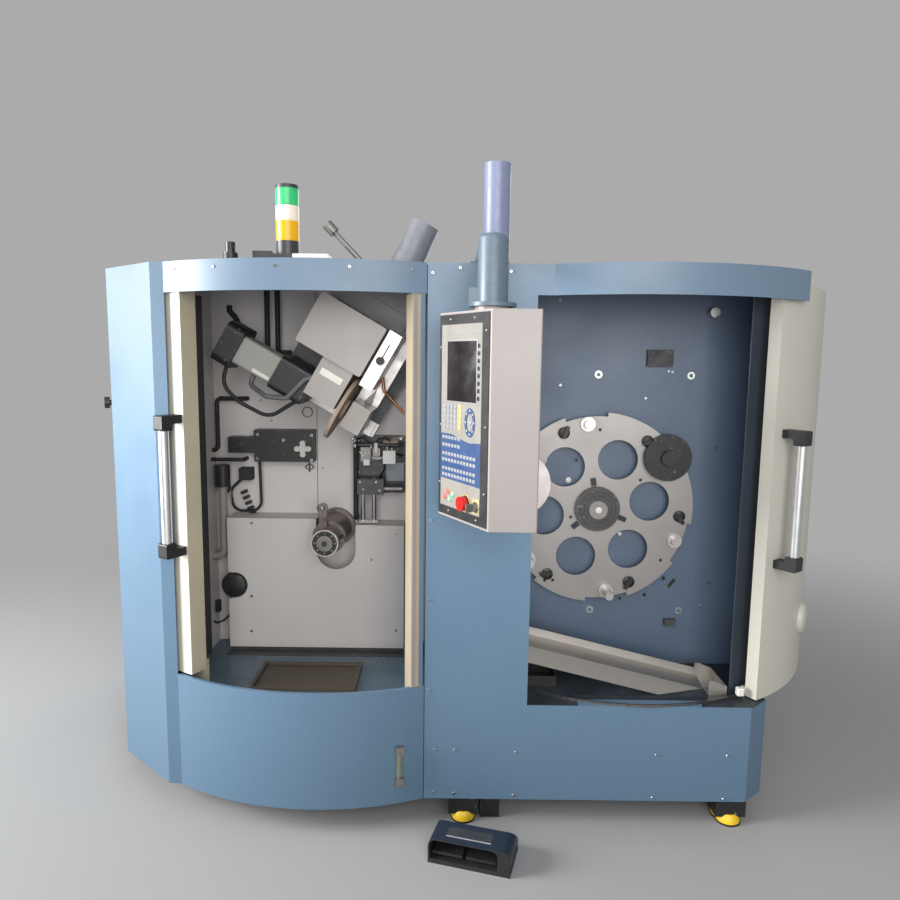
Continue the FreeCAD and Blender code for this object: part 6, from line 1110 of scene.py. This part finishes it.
def make_arbor_bolts():
    """Ring of bolts on the arbor's flange."""
    centre = pivot("arbor_spin")
    centre.y = low_corner("arbor_flange").y + 12 * MM
    points = ring_spots(centre, FLANGE_BOLT_PITCH_RADIUS, FLANGE_BOLT_COUNT)
    screws("flange_bolts", "arbor", points, 0.0035, 0.002)


def make_magazine_fittings():
    """Pale button at the hub's centre as a painted highlight, rings on the black flange and bosses behind the
    wing knobs.
    """
    piece = Piece("magazine_fittings")
    # Pale button: painted highlight at the hub's centre.
    piece.add(button(11, 1, 9, 2, 28), "pale block", facing(at(506, 260, 968)))
    for inner in (60, 46):
        piece.add(ring_form(inner, inner + 2, 0.6, 48), "black plastic", facing(at(505, 274, 968)))
    centre = pivot("carousel_spin")
    centre.y = at(0, 294, 0).y
    for point in ring_spots(centre, BOSS_PITCH_RADIUS, STATION_COUNT, BOSS_START):
        piece.add(button(20, 6, 17, 8, 28), "black block", facing(point))
    piece.place("carousel", "machined_steel")


def make_wall_fittings():
    """Buttons, outlets and a tilted clip on the back wall of the magazine bay."""
    piece = Piece("magazine_wall_fittings")
    for x, z, radius, name in WALL_BUTTONS:
        piece.add(button(radius, 4, 0.6 * radius, 6), name, facing(at(x, 330, z)))
    for x in OUTLET_X:
        piece.add(button(7, 6, 4, 7), "hose grey", facing(at(x, 328, OUTLET_Z)))
    piece.add(block((-4, -9, -17), (4, 1, 17), 1), "black plastic", DATUM @ posed(785, 330, 696, 40, "Y"))
    piece.place("cabinet", "black_plastic")
    screws("wall_plate_screws", "cabinet", [at(777, 327, 552), at(795, 327, 552)], 0.0045, 0.003)


def make_lens_ribs():
    """Ribbed sleeves over the lenses of the signal tower."""
    piece = Piece("lens_ribs")
    for low, high, name in LENSES:
        count = (high - low) // RIB_PITCH
        profile = [(SLEEVE_RADIUS + RIB_HEIGHT * (index % 2), index * (high - low) / count)
                   for index in range(count + 1)]
        piece.add(turned(profile, 48), name, Matrix.Translation(at(-507, 150, low)))
    piece.place("cabinet", "lens", crease=80)


def make_switch_plate():
    """Bare sunken plate on the foot switch's hood, with a pale line at its front edge."""
    piece = Piece("switch_plate")
    piece.add_blocks(SWITCH_PLATES, HOOD)
    piece.place("cabinet", "black_plastic")


def make_sill_fittings():
    """Painted strip on the right bay's sill and the domed pads of the two front feet."""
    piece = Piece("sill_fittings")
    piece.add(plate_form(SILL_STRIP, 0.8), "blue powder coat", Matrix.Translation(at(0, 0, SILL_Z)))
    for x in FRONT_FOOT_X:
        foot = Matrix.Translation(at(x, 37, 0))
        piece.add(turned(((38, 4), (37, 12), (33, 26), (27, 32), (0, 33)), 40), "yellow plastic", foot)
        piece.add(turned(((40, 0.5), (40, 5.5), (0, 5.5)), 40), "rubber", foot)
    piece.place("cabinet", "yellow_plastic")


def make_door_grip():
    """Round grip on the outside of the right door and the guide block at its foot."""
    turn = math.radians(56)
    out = Vector((math.sin(turn), -math.cos(turn), 0))
    point = pivot("right_door_travel") + out * 713 * MM
    point.z = 600 * MM
    piece = Piece("door_grip")
    piece.add(turned(((52, 0), (52, 6), (47, 15), (36, 20), (0, 22)), 40), "cream powder coat",
              facing(point, out))
    piece.add(block((926, 50, 412), (948, 72, 438), 3), "pale block")
    piece.place("right_door", "cream_paint")


DETAILS = (
    make_head_plates, make_bay_fittings, make_clamp_fittings, make_arbor_bolts, make_magazine_fittings,
    make_wall_fittings, make_lens_ribs, make_switch_plate, make_sill_fittings, make_door_grip,
)


class OBJECT_OT_sharpener_details(bpy.types.Operator):
    """Build the plates, rings, ribs, tubes and pads that are too small for the solid model"""
    bl_idname = "object.sharpener_details"
    bl_label = "Details"

    def execute(self, context):
        for make in DETAILS:
            make()
        return {"FINISHED"}


def make_floor():
    """Paper floor that curves up behind the machine, far from it on every side."""
    reach, back, bend, rise, steps = 16.0, 9.0, 3.0, 9.0, 12
    line = [(-reach, 0.0), (back, 0.0)]
    for i in range(1, steps + 1):
        turn = math.pi / 2 * i / steps
        line.append((back + bend * math.sin(turn), bend - bend * math.cos(turn)))
    line.append((back + bend, rise))
    form = bmesh.new()
    rows = [[form.verts.new((side * reach, y, z)) for y, z in line] for side in (-1, 1)]
    for i in range(len(line) - 1):
        form.faces.new((rows[0][i], rows[1][i], rows[1][i + 1], rows[0][i + 1]))
    mesh = bpy.data.meshes.new("studio_floor")
    form.to_mesh(mesh)
    form.free()
    mesh.materials.append(finish("studio paper"))
    mesh.shade_smooth()
    new_object("studio_floor", mesh)


def make_lights(stage):
    aim = Vector((0, 0, 1.0))
    for name, (spot, size, power) in LIGHTS.items():
        lamp = bpy.data.lights.new(name, "AREA")
        lamp.size = size
        lamp.energy = getattr(stage, power)
        made = new_object(name, lamp)
        made.location = spot
        made.rotation_euler = (aim - Vector(spot)).to_track_quat("-Z", "Y").to_euler()


def make_surround(stage):
    """Even light from all sides, seen as the plain background."""
    world = bpy.data.worlds.new("soft surround")
    world.use_nodes = True
    tree = world.node_tree
    tree.nodes.clear()
    glow = output(tree, "ShaderNodeBackground", {"Color": linear(SKY), "Strength": stage.sky})
    shown = output(tree, "ShaderNodeBackground", {"Color": linear(SURROUND), "Strength": 1.0})
    mixed = output(tree, "ShaderNodeMixShader", {0: shown_rays(tree), 1: glow, 2: shown})
    add_node(tree, "ShaderNodeOutputWorld", {"Surface": mixed})
    bpy.context.scene.world = world


def make_camera(stage):
    forward = Vector((0, math.cos(stage.pitch), -math.sin(stage.pitch)))
    right = Vector((1, 0, 0))
    above = right.cross(forward)
    turned_right = right * math.cos(stage.roll) + above * math.sin(stage.roll)
    turned_up = above * math.cos(stage.roll) - right * math.sin(stage.roll)
    lens = bpy.data.cameras.new("camera")
    lens.sensor_width = 36.0
    lens.lens = stage.focal
    made = new_object("camera", lens)
    made.matrix_world = axes_at(
        FRONT + Vector((0, -stage.camera_y, stage.eye_height)), turned_right, turned_up, -forward)
    bpy.context.scene.camera = made


class OBJECT_OT_sharpener_stage(bpy.types.Operator):
    """Lay the pale floor, hang the soft lights and set the camera"""
    bl_idname = "object.sharpener_stage"
    bl_label = "Stage"

    def execute(self, context):
        stage = context.scene.sharpener_stage
        make_floor()
        make_lights(stage)
        make_surround(stage)
        make_camera(stage)
        context.scene.view_settings.view_transform = "Standard"
        return {"FINISHED"}


class VIEW3D_PT_sharpener(bpy.types.Panel):
    """Buttons that build each group of pieces"""
    bl_label = "Sharpener"
    bl_space_type = "VIEW_3D"
    bl_region_type = "UI"
    bl_category = "Sharpener"

    def draw(self, context):
        for operator in OPERATORS:
            self.layout.operator(operator.bl_idname)


OPERATORS = (
    OBJECT_OT_sharpener_finishes,
    OBJECT_OT_sharpener_screws,
    OBJECT_OT_sharpener_console,
    OBJECT_OT_sharpener_details,
    OBJECT_OT_sharpener_stage,
)
CLASSES = (SharpenerSizes, SharpenerStage, *OPERATORS, VIEW3D_PT_sharpener)


def register():
    for item in CLASSES:
        bpy.utils.register_class(item)
    bpy.types.Scene.sharpener_sizes = bpy.props.PointerProperty(type=SharpenerSizes)
    bpy.types.Scene.sharpener_stage = bpy.props.PointerProperty(type=SharpenerStage)


def unregister():
    del bpy.types.Scene.sharpener_stage
    del bpy.types.Scene.sharpener_sizes
    for item in reversed(CLASSES):
        bpy.utils.unregister_class(item)


def main():
    register()
    bpy.ops.object.sharpener_finishes()
    bpy.ops.object.sharpener_screws()
    bpy.ops.object.sharpener_console()
    bpy.ops.object.sharpener_details()
    bpy.ops.object.sharpener_stage()


if __name__ == "__main__":
    main()
